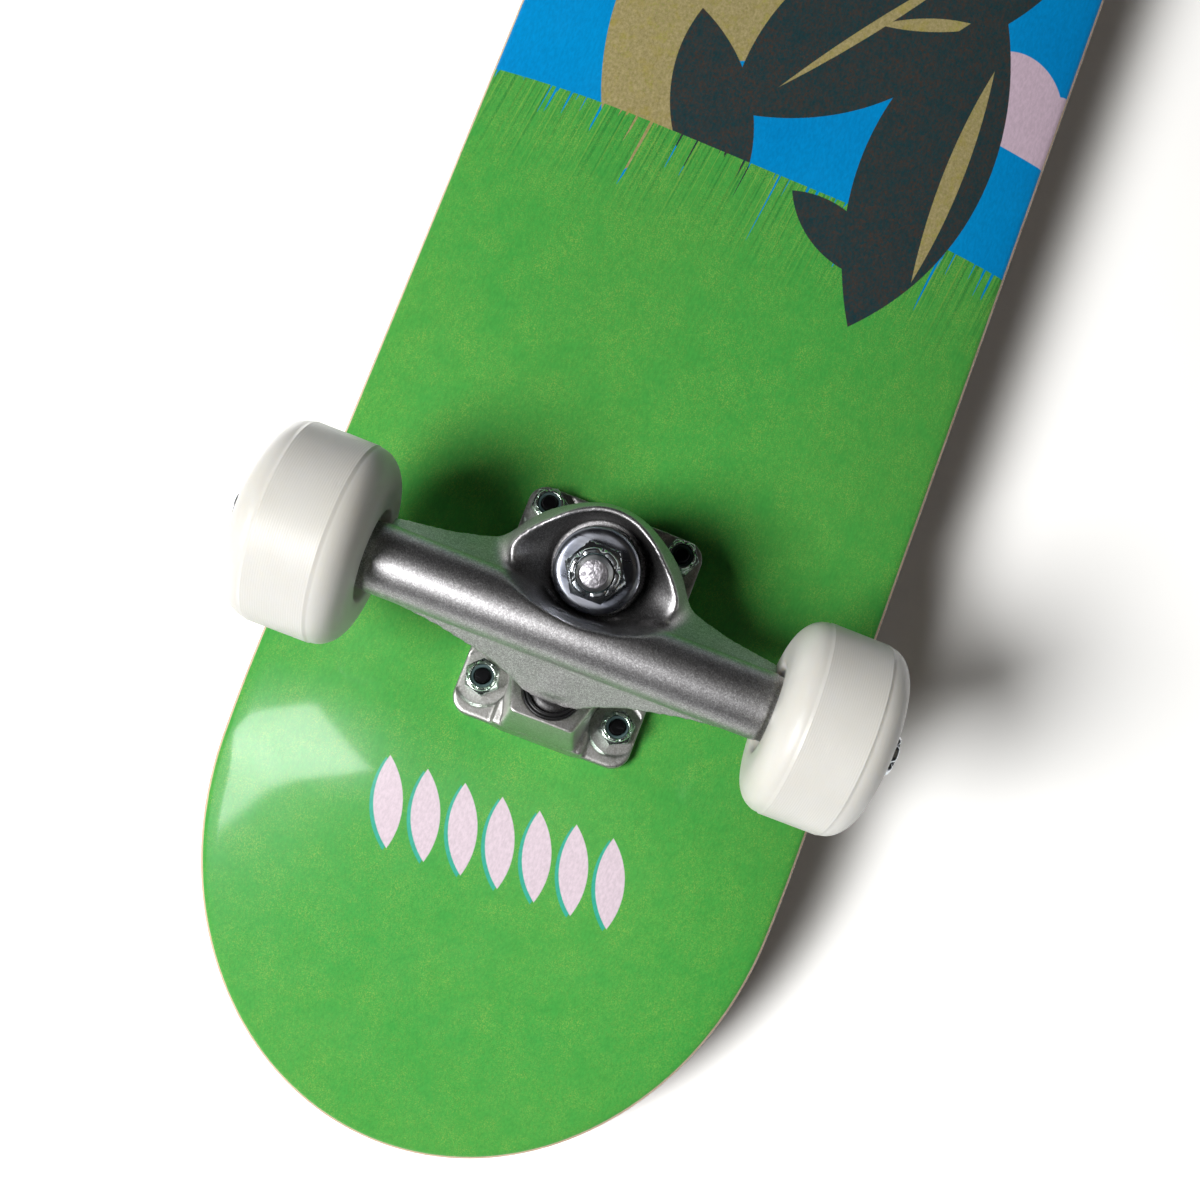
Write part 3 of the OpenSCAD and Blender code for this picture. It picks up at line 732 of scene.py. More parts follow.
def sheared_steel():
    """The kingpin's sheared end: bright and coarse."""
    metal = Metal("kingpin_end_steel")
    coarse = metal.noise(620, 3.0, 0.7)
    base = metal.fade(coarse, 0.35, 0.6, srgb(96, 94, 98), srgb(196, 192, 198))
    return metal.finish(base, metal.ramp(coarse, 0.35, 0.7, 0.50, 0.34), metal.bump(coarse, 0.8, 0.0003))


def plastic(name, tone, rough, soft=0.0):
    """Moulded urethane, rubber or nylon with a fine skin and slight colour drift."""
    paint = Paint(name)
    skin = paint.noise(900, 3.0, 0.6)
    base = paint.fade(paint.noise(60), 0.35, 0.7, tone, darker(tone, 0.9))
    shine = paint.ramp(skin, 0.3, 0.7, rough - 0.04, rough + 0.06)
    return paint.finish(Base_Color=base, Roughness=shine, Normal=paint.bump(skin, 0.3, 0.00004),
                        Subsurface_Weight=soft, Subsurface_Scale=0.004, Subsurface_Radius=(1.0, 0.8, 0.6))


def wheel_material():
    """Cast white urethane, turned on a lathe."""
    paint = Paint("wheel_urethane")
    lines = paint.noise(1.0, 1.0, 0.5, stretch=(0.0, 2300.0, 0.0))
    base = paint.fade(paint.noise(40), 0.35, 0.7, srgb(223, 221, 215), srgb(217, 214, 205))
    base = paint.fade(paint.noise(420, 4.0, 0.7), 0.62, 0.78, base, srgb(204, 200, 190), 0.18)
    skin = paint.node("ShaderNodeBump")
    paint.feed(skin.inputs, {"Height": paint.noise(1400, 3.0, 0.6), "Strength": 0.2, "Distance": 0.00003,
                             "Normal": paint.bump(lines, 0.25, 0.00006)})
    return paint.finish(Base_Color=base, Roughness=paint.ramp(lines, 0.3, 0.7, 0.34, 0.46),
                        Normal=skin.outputs[0], Subsurface_Weight=0.25, Subsurface_Scale=0.004,
                        Subsurface_Radius=(1.0, 0.85, 0.6))


def grip_material():
    """Silicon-carbide grit on black paper: sharp grains, a few of them glinting, with dusty wear."""
    paint = Paint("grip_grit")
    (tone, glint, _), distance = paint.grains(2600)
    base = paint.fade(tone, 0.0, 1.0, (0.006, 0.006, 0.007, 1), (0.030, 0.030, 0.032, 1))
    base = paint.fade(paint.noise(22, 4.0, 0.6), 0.55, 0.8, base, (0.075, 0.072, 0.068, 1), 0.35)
    base = paint.fade(glint, 0.985, 1.0, base, (0.45, 0.45, 0.47, 1))
    bumps = paint.bump(paint.math("SUBTRACT", 1.0, distance), 0.9, 0.00035)
    return paint.finish(Base_Color=base, Roughness=paint.ramp(glint, 0.9, 1.0, 0.82, 0.30), Normal=bumps)


def grip_edge_material():
    """The filed rim of the grip tape: the paper and the grit rubbed grey."""
    paint = Paint("grip_filed_edge")
    scuff = paint.noise(900, 3.0, 0.7)
    base = paint.fade(scuff, 0.35, 0.65, (0.05, 0.05, 0.05, 1), (0.28, 0.27, 0.26, 1))
    return paint.finish(Base_Color=base, Roughness=0.8, Normal=paint.bump(scuff, 0.6, 0.0002))


def ply_material(name, light, dark, scale, stretch):
    """Sawn and sanded maple edge: end grain in the cross plies, long fibres in the others."""
    paint = Paint(name)
    fibre = paint.noise(scale, 3.0, 0.65, stretch=stretch)
    base = paint.fade(fibre, 0.35, 0.68, light, dark)
    base = paint.fade(paint.noise(30, 3.0), 0.4, 0.75, base, dark, 0.35)
    shine = paint.ramp(fibre, 0.3, 0.7, 0.42, 0.62)
    return paint.finish(Base_Color=base, Roughness=shine, Normal=paint.bump(fibre, 0.35, 0.00012))


class Poster(Paint):
    """A paint of flat cut-paper shapes, as distances in mm across the plane of the deck."""

    def __init__(self, name):
        super().__init__(name)
        self.place = self.vector("MULTIPLY", self.coords, (1 / MM, 1 / MM, 0))

    def circle(self, x, y, r):
        return self.math("SUBTRACT", self.vector("DISTANCE", self.place, (x, y, 0)), r)

    def side(self, x, degrees):
        """Positive on the side that the given direction points to from a point of the middle line."""
        a = math.radians(degrees)
        facing = self.vector("DOT_PRODUCT", self.place, (math.cos(a), math.sin(a), 0))
        return self.math("SUBTRACT", facing, x * math.cos(a))

    def either(self, shapes):
        out = shapes[0]
        for shape in shapes[1:]:
            out = self.math("MINIMUM", out, shape)
        return out

    def leaf(self, tip, end, half):
        """A leaf from one pointed tip to the other: the overlap of two circles."""
        tip = Vector(tip)
        along = Vector(end) - tip
        across = Vector((-along.y, along.x)).normalized()
        r = ((along.length / 2) ** 2 + half ** 2) / (2 * half)
        centres = [tip + along / 2 + sign * (r - half) * across for sign in (-1, 1)]
        return self.math("MAXIMUM", *[self.circle(c.x, c.y, r) for c in centres])

    def leaves(self, rows):
        """Several leaves as one shape: [tip x, tip y, end x, end y, half-width] from the tail's bolts."""
        middle = BOLTS_X["tail"]
        spots = [((middle + x0, y0), (middle + x1, y1), half) for x0, y0, x1, y1, half in rows]
        return self.either([self.leaf(*spot) for spot in spots])

    def cloud(self, puffs, foot):
        """Round puffs above a straight foot, rising towards the nose."""
        top = self.either([self.circle(*puff) for puff in puffs])
        return self.math("MAXIMUM", top, self.side(foot, 180))

    def lay(self, base, shape, colour):
        """Lays a coloured shape over a base, with a clean printed edge."""
        return self.mix(self.ramp(shape, 0.12, -0.12), base, colour)


def printed_sky(poster, drift):
    """A blue sky with a low sun and lilac clouds."""
    picture = poster.fade(drift, 0.3, 0.7, srgb(0, 150, 218), srgb(0, 136, 206))
    picture = poster.lay(picture, poster.circle(262, 22, 27), srgb(240, 205, 150))
    for foot, *puffs in ((3, (8, 92, 22), (18, 70, 17), (10, 52, 12)),
                         (146, (150, -62, 20), (164, -36, 26), (152, -10, 18)),
                         (214, (218, 70, 22), (232, 46, 19), (220, 26, 13)),
                         (296, (300, -50, 16), (310, -30, 19))):
        picture = poster.lay(picture, poster.cloud(puffs, foot), srgb(214, 190, 206))
    return picture


def plant_inks(poster):
    """Grainy tan and dark paper."""
    grain = poster.noise(1100, 4.0, 0.75)
    patch = poster.noise(240, 3.0, 0.6)
    tan = poster.fade(grain, 0.35, 0.65, srgb(180, 166, 120), srgb(150, 138, 90))
    tan = poster.fade(patch, 0.5, 0.72, tan, srgb(164, 148, 66), 0.55)
    dark = poster.fade(grain, 0.35, 0.68, srgb(26, 64, 70), srgb(78, 58, 48))
    return tan, poster.fade(patch, 0.4, 0.7, dark, srgb(24, 62, 68), 0.6)


def printed_grass(poster, picture, drift):
    """A meadow whose far edge is cut into blades."""
    blades_across = poster.side(0, 97)
    from_edge = poster.side(BOLTS_X["tail"] + 153, 0)
    far = poster.ramp(from_edge, -38, -3)
    reach = poster.ramp(poster.stripes(blades_across, 0.11, 1.0), 0.42, 0.66, 3.0, 26.0)
    slit = poster.math("MULTIPLY", poster.ramp(poster.stripes(blades_across, 0.62, 2.0), 0.60, 0.74), reach)
    green = poster.fade(drift, 0.25, 0.75, srgb(66, 165, 70), srgb(92, 171, 74), 0.5)
    for scale, low, high, share, ink in ((0.9, 0.50, 0.66, 0.75, srgb(40, 128, 56)),
                                         (1.3, 0.56, 0.70, 0.45, srgb(150, 190, 80))):
        strokes = poster.ramp(poster.stripes(blades_across, scale, 2.0), low, high, 0.0, share)
        green = poster.mix(poster.math("MULTIPLY", strokes, far), green, ink)
    return poster.lay(picture, poster.math("ADD", from_edge, slit), green)


def graphic_material():
    """The printed underside under gloss lacquer: a meadow, a blue sky and a cut-paper plant."""
    poster = Poster("deck_graphic")
    drift = poster.noise(14, 3.0, 0.5)
    tan, dark = plant_inks(poster)
    picture = printed_sky(poster, drift)
    behind = [(132, -40, 262, -34, 22), (176, -40, 256, 12, 24), (232, -60, 330, -72, 12),
              (250, 30, 366, 4, 18)]
    front = [(194, -33, 132, -4, 13), (166, -14, 262, 54, 24), (206, -6, 330, -44, 19),
             (222, 52, 316, 74, 12)]
    veins = [(222, -12, 312, -40, 2.0), (180, -2, 244, 42, 1.6), (212, 20, 226, 52, 2.2)]
    for leaves, ink in ((behind, tan), (front, dark), (veins, tan)):
        picture = poster.lay(picture, poster.leaves(leaves), ink)
    picture = printed_grass(poster, picture, drift)
    picture = poster.lay(picture, poster.leaves([(116, 44, 236, 56, 20), (150, 13, 134, 50, 8)]), dark)
    picture = poster.lay(picture, poster.leaves([(138, 58, 214, 60, 3.2)]), tan)

    # A row of seven lilac leaves across the tail, each with a thin offset shadow
    for shift, ink in ((0.9, srgb(60, 176, 150)), (0, srgb(224, 206, 216))):
        row = [(-57 - shift, y - 38 - shift, -83 - shift, y - 30 - shift, 4.3)
               for y in (11.6 * i for i in range(7))]
        picture = poster.lay(picture, poster.leaves(row), ink)

    # Yellow flecks in the green ink only, and the weave of the printing film over all
    specks = poster.ramp(poster.noise(2500, 3.0, 0.75), 0.48, 0.62, 0.0, 0.58)
    fleck = poster.math("MULTIPLY", specks, poster.ramp(poster.noise(110, 5.0, 0.7), 0.34, 0.70))
    _, green, blue = poster.split(picture)
    is_green = poster.math("MULTIPLY", poster.ramp(blue, 0.14, 0.10), poster.ramp(green, 0.12, 0.18))
    picture = poster.mix(is_green, picture, poster.mix(fleck, picture, srgb(166, 198, 90)))
    weave = poster.ramp(poster.noise(1300, 3.0, 0.6, stretch=(0.45, 1.0, 1.0)), 0.35, 0.65, 0.90, 1.06)
    tone = poster.node("ShaderNodeCombineColor")
    poster.feed(tone.inputs, {0: weave, 1: weave, 2: weave})
    picture = poster.mix(1.0, picture, tone.outputs[0], "MULTIPLY")
    shine = poster.ramp(poster.noise(70, 3.0, 0.6), 0.35, 0.75, 0.34, 0.44)
    bumps = poster.bump(poster.noise(180, 3.0, 0.55), 0.10, 0.00010)
    return poster.finish(Base_Color=picture, Roughness=shine, Normal=bumps, Coat_Weight=0.25,
                         Coat_Roughness=0.10, Specular_IOR_Level=0.25)


MATERIAL = {
    "graphic": graphic_material(),
    "ply_long": ply_material("maple_long_ply", srgb(226, 199, 168), srgb(203, 170, 136), 1100,
                             (0.06, 0.06, 4.0)),
    "ply_cross": ply_material("maple_cross_ply", srgb(198, 160, 124), srgb(170, 130, 96), 1500,
                              (1.0, 1.0, 3.0)),
    "grip": grip_material(),
    "grip_edge": grip_edge_material(),
    "hanger": cast_aluminium("hanger_blasted_aluminium", srgb(166, 164, 165), 0.42, 0.45, 4600),
    "baseplate": cast_aluminium("baseplate_cast_aluminium", srgb(196, 194, 190), 0.42, 0.36, 3600),
    "zinc": plated("bright_zinc", srgb(214, 217, 221), 0.14, srgb(196, 206, 214)),
    "green_zinc": plated("green_zinc", srgb(205, 217, 210), 0.16, srgb(182, 204, 192)),
    "steel": plated("satin_steel", srgb(198, 199, 201), 0.26, srgb(188, 189, 192), 0.2),
    "washer": plated("washer_zinc_blue", srgb(158, 160, 168), 0.24, srgb(132, 136, 148)),
    "worn_end": sheared_steel(),
    "black": plated("black_oxide", srgb(34, 34, 36), 0.34, srgb(22, 22, 24), 0.3),
    "nylon": plastic("nut_nylon", srgb(70, 92, 92), 0.42),
    "cage": plastic("cage_nylon", srgb(214, 206, 172), 0.45),
    "rubber": plastic("pivot_cup_rubber", srgb(26, 26, 27), 0.38),
    "bushing": plastic("bushing_urethane", srgb(58, 60, 62), 0.36, 0.05),
    "wheel": wheel_material(),
    "shield": plated("bearing_shield", srgb(190, 192, 196), 0.30, srgb(176, 178, 183), 0.25),
    "ball": plated("bearing_ball", srgb(214, 215, 218), 0.06, srgb(204, 206, 210), 0.03),
}

# ---------------------------------------------------------------- deck and grip tape

STRAIGHT_HALF = LENGTH / 2 - OUTLINE_END
KICK_START = {end: abs(BOLTS_X[end]) + HOLE_X / 2 + KICK_MARGIN for end in ENDS}
KICK_BEND = KICK_RADIUS * math.sin(KICK_ANGLE)


def kick(d):
    """The kick's rise and slope at a distance past its start."""
    if d <= 0:
        return 0.0, 0.0
    if d < KICK_BEND:
        return KICK_RADIUS - math.sqrt(KICK_RADIUS ** 2 - d * d), math.tan(math.asin(d / KICK_RADIUS))
    slope = math.tan(KICK_ANGLE)
    return KICK_RADIUS * (1 - math.cos(KICK_ANGLE)) + (d - KICK_BEND) * slope, slope


def deck_point(x, y, lift):
    """A point of the deck or its grip tape, in metres, lifted square to the underside."""
    past_kick = x - KICK_START["nose"] if x > 0 else -x - KICK_START["tail"]
    rise, slope = kick(past_kick)
    fade = min(1.0, max(0.0, past_kick / CONCAVE_FADE))
    share = 1 - (1 - CONCAVE_AT_TIP) * (1 - math.cos(math.pi * fade)) / 2
    edge = max(0.0, abs(y) - FLAT_HALF) / (DECK_HALF - FLAT_HALF)
    z = UNDERSIDE + rise + share * CONCAVE * edge ** 2 + lift * math.sqrt(1 + slope ** 2)
    return Vector((x, y, z)) * MM


def deck_stations():
    """[x, half-width, inward normal] of the outline from the tail's tip to the nose's tip."""
    def tip(sign, a):
        normal = Vector((-sign * math.sin(a) / OUTLINE_END, -math.cos(a) / DECK_HALF)).normalized()
        return sign * (STRAIGHT_HALF + OUTLINE_END * math.sin(a)), DECK_HALF * math.cos(a), normal

    angles = [math.radians(90 * i / 40) for i in range(1, 41)]
    sides = [(float(x), DECK_HALF, Vector((0, -1))) for x in np.linspace(-STRAIGHT_HALF, STRAIGHT_HALF, 150)]
    return [tip(-1, a) for a in reversed(angles)] + sides + [tip(1, a) for a in angles]


def layer_tube(rows, low_kind, high_kind):
    """A closed layer: rows of [inset, lift, kind] up its side, and kinds for its two faces."""
    across = 44
    shares = [1 - 2 * j / across for j in range(1, across)]
    ring = [(inset, lift, 1) for inset, lift, kind in rows]
    ring += [(*rows[-1][:2], share) for share in shares]
    ring += [(inset, lift, -1) for inset, lift, kind in reversed(rows)]
    ring += [(*rows[0][:2], -share) for share in shares]
    stations = deck_stations()
    build = Build()
    for x, half, normal in stations:
        for inset, lift, share in ring:
            y = share * max(0.0, half + normal.y * inset)
            build.points.append(deck_point(x + normal.x * inset, y, lift))
    side = [kind for inset, lift, kind in rows[:-1]]
    kinds = side + [high_kind] * across + side[::-1] + [low_kind] * across
    build.faces = lattice(len(stations), len(ring), round_columns=False)
    build.kinds = kinds * (len(stations) - 1)
    return build


def welded(data):
    """Merges the points that meet, and turns every face outwards."""
    work = bmesh.new()
    work.from_mesh(data)
    bmesh.ops.remove_doubles(work, verts=work.verts, dist=1e-6)
    bmesh.ops.dissolve_degenerate(work, edges=work.edges, dist=1e-6)
    bmesh.ops.recalc_face_normals(work, faces=work.faces)
    work.to_mesh(data)
    work.free()
    return data


def bore(piece, tool):
    """Cuts a tool's mesh out of a piece."""
    cutter = added(piece.name + "_tool", tool)
    change = piece.modifiers.new("holes", "BOOLEAN")
    change.operation = "DIFFERENCE"
    change.solver = "EXACT"
    change.object = cutter
    view = bpy.context.evaluated_depsgraph_get()
    cut_data = bpy.data.meshes.new_from_object(piece.evaluated_get(view))
    piece.modifiers.remove(change)
    piece.data = cut_data
    bpy.data.objects.remove(cutter)


def make_layer(name, rows, kinds, hole, materials, node, sharp):
    """A layer of the board with its eight bolt holes, whose walls take material 1."""
    data = welded(layer_tube(rows, *kinds).mesh(name))
    piece = show(name, data, materials, None, node, sharp=None)
    tools = Build()
    segments = 40
    for end in ENDS:
        for spot in truck_bolts():
            place = Matrix.Translation((BOLTS_X[end] + spot.x, spot.y, UNDERSIDE))
            points, faces = lathe(hole, segments, False)
            for row in (0, len(hole) - 1):
                faces.append([s * len(hole) + row for s in range(segments)])
            faces[-2].reverse()
            tools.add(points, faces, kind=1, place=place)
    bore(piece, welded(tools.mesh("bolt_holes", Matrix.Scale(MM, 4))))
    piece.data.set_sharp_from_angle(angle=math.radians(sharp))
    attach(piece, "board")


def make_board():
    under_r = 2.4
    over_r = 1.2
    rows = [(under_r, 0.0, 0), (1.7, 0.13, 0)]
    plies = [THICKNESS * k / PLIES for k in range(1, PLIES)]
    for lift in (0.42, 0.9, *plies, THICKNESS - over_r, THICKNESS - 0.45, THICKNESS - 0.12):
        inset = 0.0
        for r, depth in ((under_r, under_r - lift), (over_r, over_r - THICKNESS + lift)):
            if depth > 0:
                inset = r - math.sqrt(max(0.0, r ** 2 - depth ** 2))
        ply = min(PLIES - 1, int((lift + 1e-6) / THICKNESS * PLIES))
        rows.append((inset, lift, 1 + ply % 2))
    rows.append((over_r, THICKNESS, 1))
    hole = [(2.7, -1.0), (2.7, 7.4), (4.78, THICKNESS), (4.78, THICKNESS + 1)]
    make_layer("deck_laminate", rows, (0, 1), hole, "graphic ply_long ply_cross", "deck", 50)
    rows = [(1.25, THICKNESS + 0.02, 1), (1.3, THICKNESS + 0.35, 1), (1.75, THICKNESS + GRIP, 1)]
    hole = [(4.95, THICKNESS - 2), (4.95, THICKNESS + 3)]
    make_layer("grip_sheet", rows, (1, 0), hole, "grip grip_edge", "grip_tape", 30)


# ---------------------------------------------------------------- trucks

def make_castings():
    hanger = cast_mesh(hanger_shape, (-29, -HANGER_HALF - 2, 8), (39, HANGER_HALF + 2, 63), 0.5, 3)
    plate = cast_mesh(baseplate_shape, (-36, -28, -1), (42, 28, 32), 0.4, 2)
    for end in ENDS:
        for part, body, (points, quads) in (("hanger", end + "_hanger", hanger),
                                            ("baseplate", "board", plate)):
            data = bpy.data.meshes.new(part)
            data.from_pydata(points.tolist(), [], quads.tolist())
            data.transform(truck_frame(end))
            data.update()
            show(f"{end}_{part}_casting", data, part, body, f"{end}_{part}", sharp=None)


def make_kingpin(end):
    place = truck_frame(end)
    shaft = Build()
    shaft.add(*hex_body(KINGPIN_HEX, 5.4, AXIS_R), place=along_kingpin(-4.3))
    shaft.add(*rod(KINGPIN_R, 1.0, 38.2, 0.1), place=along_kingpin())
    shaft.add(*thread(KINGPIN_R, 38.0, KINGPIN_END, COARSE_PITCH, 0.55, 48, 8, 1.5), place=along_kingpin())
    cap = [(AXIS_R, -0.3), (KINGPIN_R - 1.0, -0.3), (KINGPIN_R - 1.15, 0.16), (KINGPIN_R - 1.5, 0.3),
           (AXIS_R, 0.3)]
    shaft.add(*lathe(cap, 48), kind=1, place=along_kingpin(KINGPIN_END - 0.1))
    show(end + "_kingpin_bolt", shaft.mesh("kingpin", place), "steel worn_end", "board",
         end + "_kingpin")
    nut = Build()
    lock_nut(nut, along_kingpin(ROAD_TOP + WASHER_T), KINGPIN_HEX, 6.8, 2.2, KINGPIN_R)
    show(end + "_kingpin_lock_nut", nut.mesh("kingpin_nut", place), "zinc nylon", "board",
         end + "_kingpin_nut")


def make_washers(end):
    """A pressed cup washer at each end of the bushings, its rim turned towards them."""
    t = WASHER_T
    r = WASHER_R
    profile = [(KINGPIN_R + 0.1, 0.0), (r - 2.6, 0.0)] + arc(r - 2.2, 2.2, 2.2, -80, 0, 6)
    profile += [(r, t + 1.2), (r - 0.6, t + 1.35), (r - 1.15, t + 1.1), (r - 1.25, t + 0.5), (r - 1.9, t),
                (KINGPIN_R + 0.1, t)]
    points, faces = solid(profile, 96, 0.2, 2)
    build = Build()
    build.add(points, faces, place=along_kingpin(BOSS_SEAT))
    build.add(points, faces, place=along_kingpin(ROAD_TOP + WASHER_T) @ Matrix.Scale(-1, 4, (0, 0, 1)))
    data = welded(build.mesh("cup_washers", truck_frame(end)))
    show(end + "_cup_washer_pair", data, "washer", "board", end + "_cup_washers")


def divided(profile):
    """A profile with points along its long sides, so that it bends smoothly."""
    out = []
    for (r0, z0), (r1, z1) in zip(profile, profile[1:]):
        steps = max(1, int(abs(z1 - z0) / 1.2))
        out += [(r0 + (r1 - r0) * i / steps, z0 + (z1 - z0) * i / steps) for i in range(steps)]
    return out + [profile[-1]]


def make_bushings(end):
    """Two pucks on the kingpin: one between the boardside washer and the hanger's ring, one between the ring
    and the roadside washer.
    """
    low = BOSS_SEAT + WASHER_T
    height = RING_FROM - low
    board = [(9.9, 0), (10.1, 1.2), (12.0, 2.6), (12.0, height - 1.2), (10.9, height)]
    tall = ROAD_TOP - RING_TO
    road = [(10.6, 0), (11.7, 1.2), (11.2, 6), (10.2, tall - 1.4), (9.9, tall)]
    place = truck_frame(end)
    for name, at, outside, top, start, finish in (
            ("boardside_bushing", low, board, height, low, RING_FROM),
            ("roadside_bushing", RING_TO, road, tall, ROAD_TOP, RING_TO)):
        bore_side = [(BUSHING_BORE, top), (BUSHING_BORE, 0)]
        profile = rounded([bore_side[1]] + outside + [bore_side[0]], 0.6)[4:-4] + bore_side
        build = Build()
        build.add(*lathe(divided(profile), 72), place=along_kingpin(at))
        data = welded(build.mesh(name, place))
        piece = show(f"{end}_{name}_puck", data, "bushing", None, f"{end}_{name}")
        tuple(place @ lean_point(start))
        tuple(place @ lean_point(finish))
        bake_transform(piece)


def make_pivot_cup(end):
    floor = -BALL_R - 1.95
    rim = (BALL_R + CUP_R) / 2
    angles = [math.radians(90 * i / 12) for i in range(1, 13)]
    profile = [(AXIS_R, -BALL_R - 0.05)]
    profile += [(BALL_R * math.sin(a) + 0.05, -BALL_R * math.cos(a) - 0.05) for a in angles]
    profile += arc(rim - 0.35, CUP_MOUTH - 0.6, 0.5, 180, 20, 6)
    profile += [(rim + 0.2, CUP_MOUTH - 0.75)] + arc(rim + 0.6, CUP_MOUTH - 0.7, 0.33, 160, 0, 6)
    profile += [(CUP_R - 0.05, CUP_MOUTH - 1.2), (CUP_FLOOR_R, floor + 0.5), (CUP_FLOOR_R - 0.5, floor),
                (AXIS_R, floor)]
    build = Build()
    build.add(*lathe(profile, 72), place=along_pin())
    data = welded(build.mesh("pivot_cup", truck_frame(end)))
    show(end + "_pivot_cup_liner", data, "rubber", "board", end + "_pivot_cup")


def make_axle(end):
    build = Build()
    place = Matrix.Translation((AXLE_U, 0, TRUCK_HEIGHT)) @ turned(90, "X")
    smooth_half = AXLE_HALF - 12
    build.add(*rod(4.0, -smooth_half, smooth_half, 0.15), place=place)
    for turn in (0, 180):
        build.add(*thread(3.97, smooth_half - 0.1, AXLE_HALF, COARSE_PITCH, 0.5, 48, 8, 1.3),
                  place=place @ turned(turn, "X"))
    show(end + "_axle_rod", build.mesh("axle", truck_frame(end)), "steel", end + "_hanger",
         end + "_axle")


def cross_recess():
    """The tool that cuts a cross recess into a bolt's head, pointing down from Z = 0."""
    points = []
    for z, reach, half in ((0.3, 2.4, 0.5), (-2.0, 1.1, 0.3)):
        for quarter in range(4):
            for corner in ((reach, -half, z), (reach, half, z), (half, half, z)):
                points.append(turned(90 * quarter, "Z") @ Vector(corner))
    faces = lattice(2, 12, round_columns=False)
    return Build().add(points, faces + [tuple(range(12)), tuple(range(12, 24))])


def one_bolt():
    """A countersunk mounting bolt about Z, its head at the top, in mm."""
    head = rounded([(4.45, 0.0), (4.7, -0.3), (2.45, -3.0)], 0.12, 2) + [(AXIS_R, -3.2), (AXIS_R, 0.0)]
    piece = added("bolt_head", welded(Build().add(*lathe(head, 48)).mesh("bolt_head")))
    bore(piece, welded(cross_recess().mesh("recess")))
    bolt = Build()
    bolt.add([v.co.copy() for v in piece.data.vertices], [tuple(p.vertices) for p in piece.data.polygons])
    bpy.data.objects.remove(piece)
    return bolt.add(*thread(BOLT_R, 2.6, 22.2, BOLT_PITCH, 0.36, 32, 6, 0.7), place=turned(180, "X"))


def make_hardware(end):
    bolt = one_bolt()
    bolts = Build()
    nuts = Build()
    for number, spot in enumerate(truck_bolts()):
        turn = turned(23 + 41 * number, "Z")
        top = Matrix.Translation(spot) @ raised(-THICKNESS) @ turned(180, "X")
        bolts.add(bolt.points, bolt.faces, place=top @ turn)
        seat = Matrix.Translation(spot) @ raised(PLATE_H + 0.02)
        lock_nut(nuts, seat @ turn, BOLT_HEX, 5.0, 1.4, BOLT_R)
    place = truck_frame(end)
    show(end + "_mounting_bolt_set", bolts.mesh("bolts", place), "black", "board",
         end + "_mounting_bolts")
    show(end + "_mounting_nut_set", nuts.mesh("nuts", place), "green_zinc nylon", "board",
         end + "_mounting_nuts")


# ---------------------------------------------------------------- wheels

def wheel_profile():
    """One closed half-section of the wheel, about its middle."""
    half = WHEEL_W / 2
    tread = TREAD_W / 2
    face_r = 17.0
    hub = SPACER / 2
    seat = BEARING_W + hub
    angles = [math.radians(90 * i / 14) for i in range(15)]
    outer = [(9.2, hub - 0.2), (9.4, hub), (10.98, hub), (10.98, seat - 0.3), (11.25, seat + 0.1),
             (11.9, half - 1.2), (12.3, half - 0.35), (12.9, half), (14.8, half)]
    outer += [(face_r + (WHEEL_R - 0.25 - face_r) * math.sin(a), half - (half - tread) * (1 - math.cos(a)))
              for a in angles]
    turns = 27
    pitch = (2 * tread - 0.3) / turns
    lines = []
    for i in range(turns):
        z = tread - 0.15 - pitch * i
        lines += [(WHEEL_R - 0.07, z), (WHEEL_R - 0.01, z - pitch * 0.35), (WHEEL_R - 0.01, z - pitch * 0.7)]
    return outer + lines + [(r, -z) for r, z in reversed(outer)]


def make_shields(end, side):
    """Pressed bearing shields with a stepped web and the snap ring that holds each."""
    name = f"{end}_{side}"
    build = Build()
    web = [(6.2, 0.42), (6.6, 0.30), (7.2, 0.30), (7.6, 0.52), (8.8, 0.52), (9.2, 0.40), (9.55, 0.42),
           (9.55, 0.75), (8.8, 0.80), (7.6, 0.80), (7.2, 0.58), (6.6, 0.58), (6.2, 0.72)]
    snap = [(9.05, 0.12), (9.55, 0.12), (9.55, 0.38), (9.05, 0.38)]
    for at in BEARINGS_AT:
        for turn in (raised(at), raised(at + BEARING_W) @ turned(180, "X")):
            build.add(*solid(web, 64, 0.08, 2), place=turn)
            build.add(*solid(snap, 64, 0.1, 2), place=turn)
    data = welded(build.mesh("shields", wheel_frame(end, side)))
    show(name + "_bearing_shield_set", data, "shield", name + "_wheel",
         name + "_bearing_shields")


def make_rings(end, side):
    """Outer and inner bearing rings with chamfered corners and raceway grooves."""
    name = f"{end}_{side}"
    groove = (7.5, BEARING_W / 2, 2.05)
    outer = [(9.6, 0.0), (10.7, 0.0), (11.0, 0.3), (11.0, 6.7), (10.7, 7.0), (9.6, 7.0), (9.6, 5.9)]
    outer += arc(*groove, -45, 45, 8)[::-1] + [(9.6, 1.1)]
    inner = [(4.02, 0.3), (4.3, 0.0), (5.75, 0.0), (5.95, 0.2)] + arc(*groove, 225, 135, 8)
    inner += [(5.95, 6.8), (5.75, 7.0), (4.3, 7.0), (4.02, 6.7)]
    for part, profile, body in (("outer", outer, name + "_wheel"), ("inner", inner, end + "_hanger")):
        build = Build()
        for at in BEARINGS_AT:
            build.add(*lathe(profile, 72), place=raised(at))
        data = welded(build.mesh(part, wheel_frame(end, side)))
        show(f"{name}_{part}_race_pair", data, "steel", body,
             f"{name}_bearing_{part}_rings")


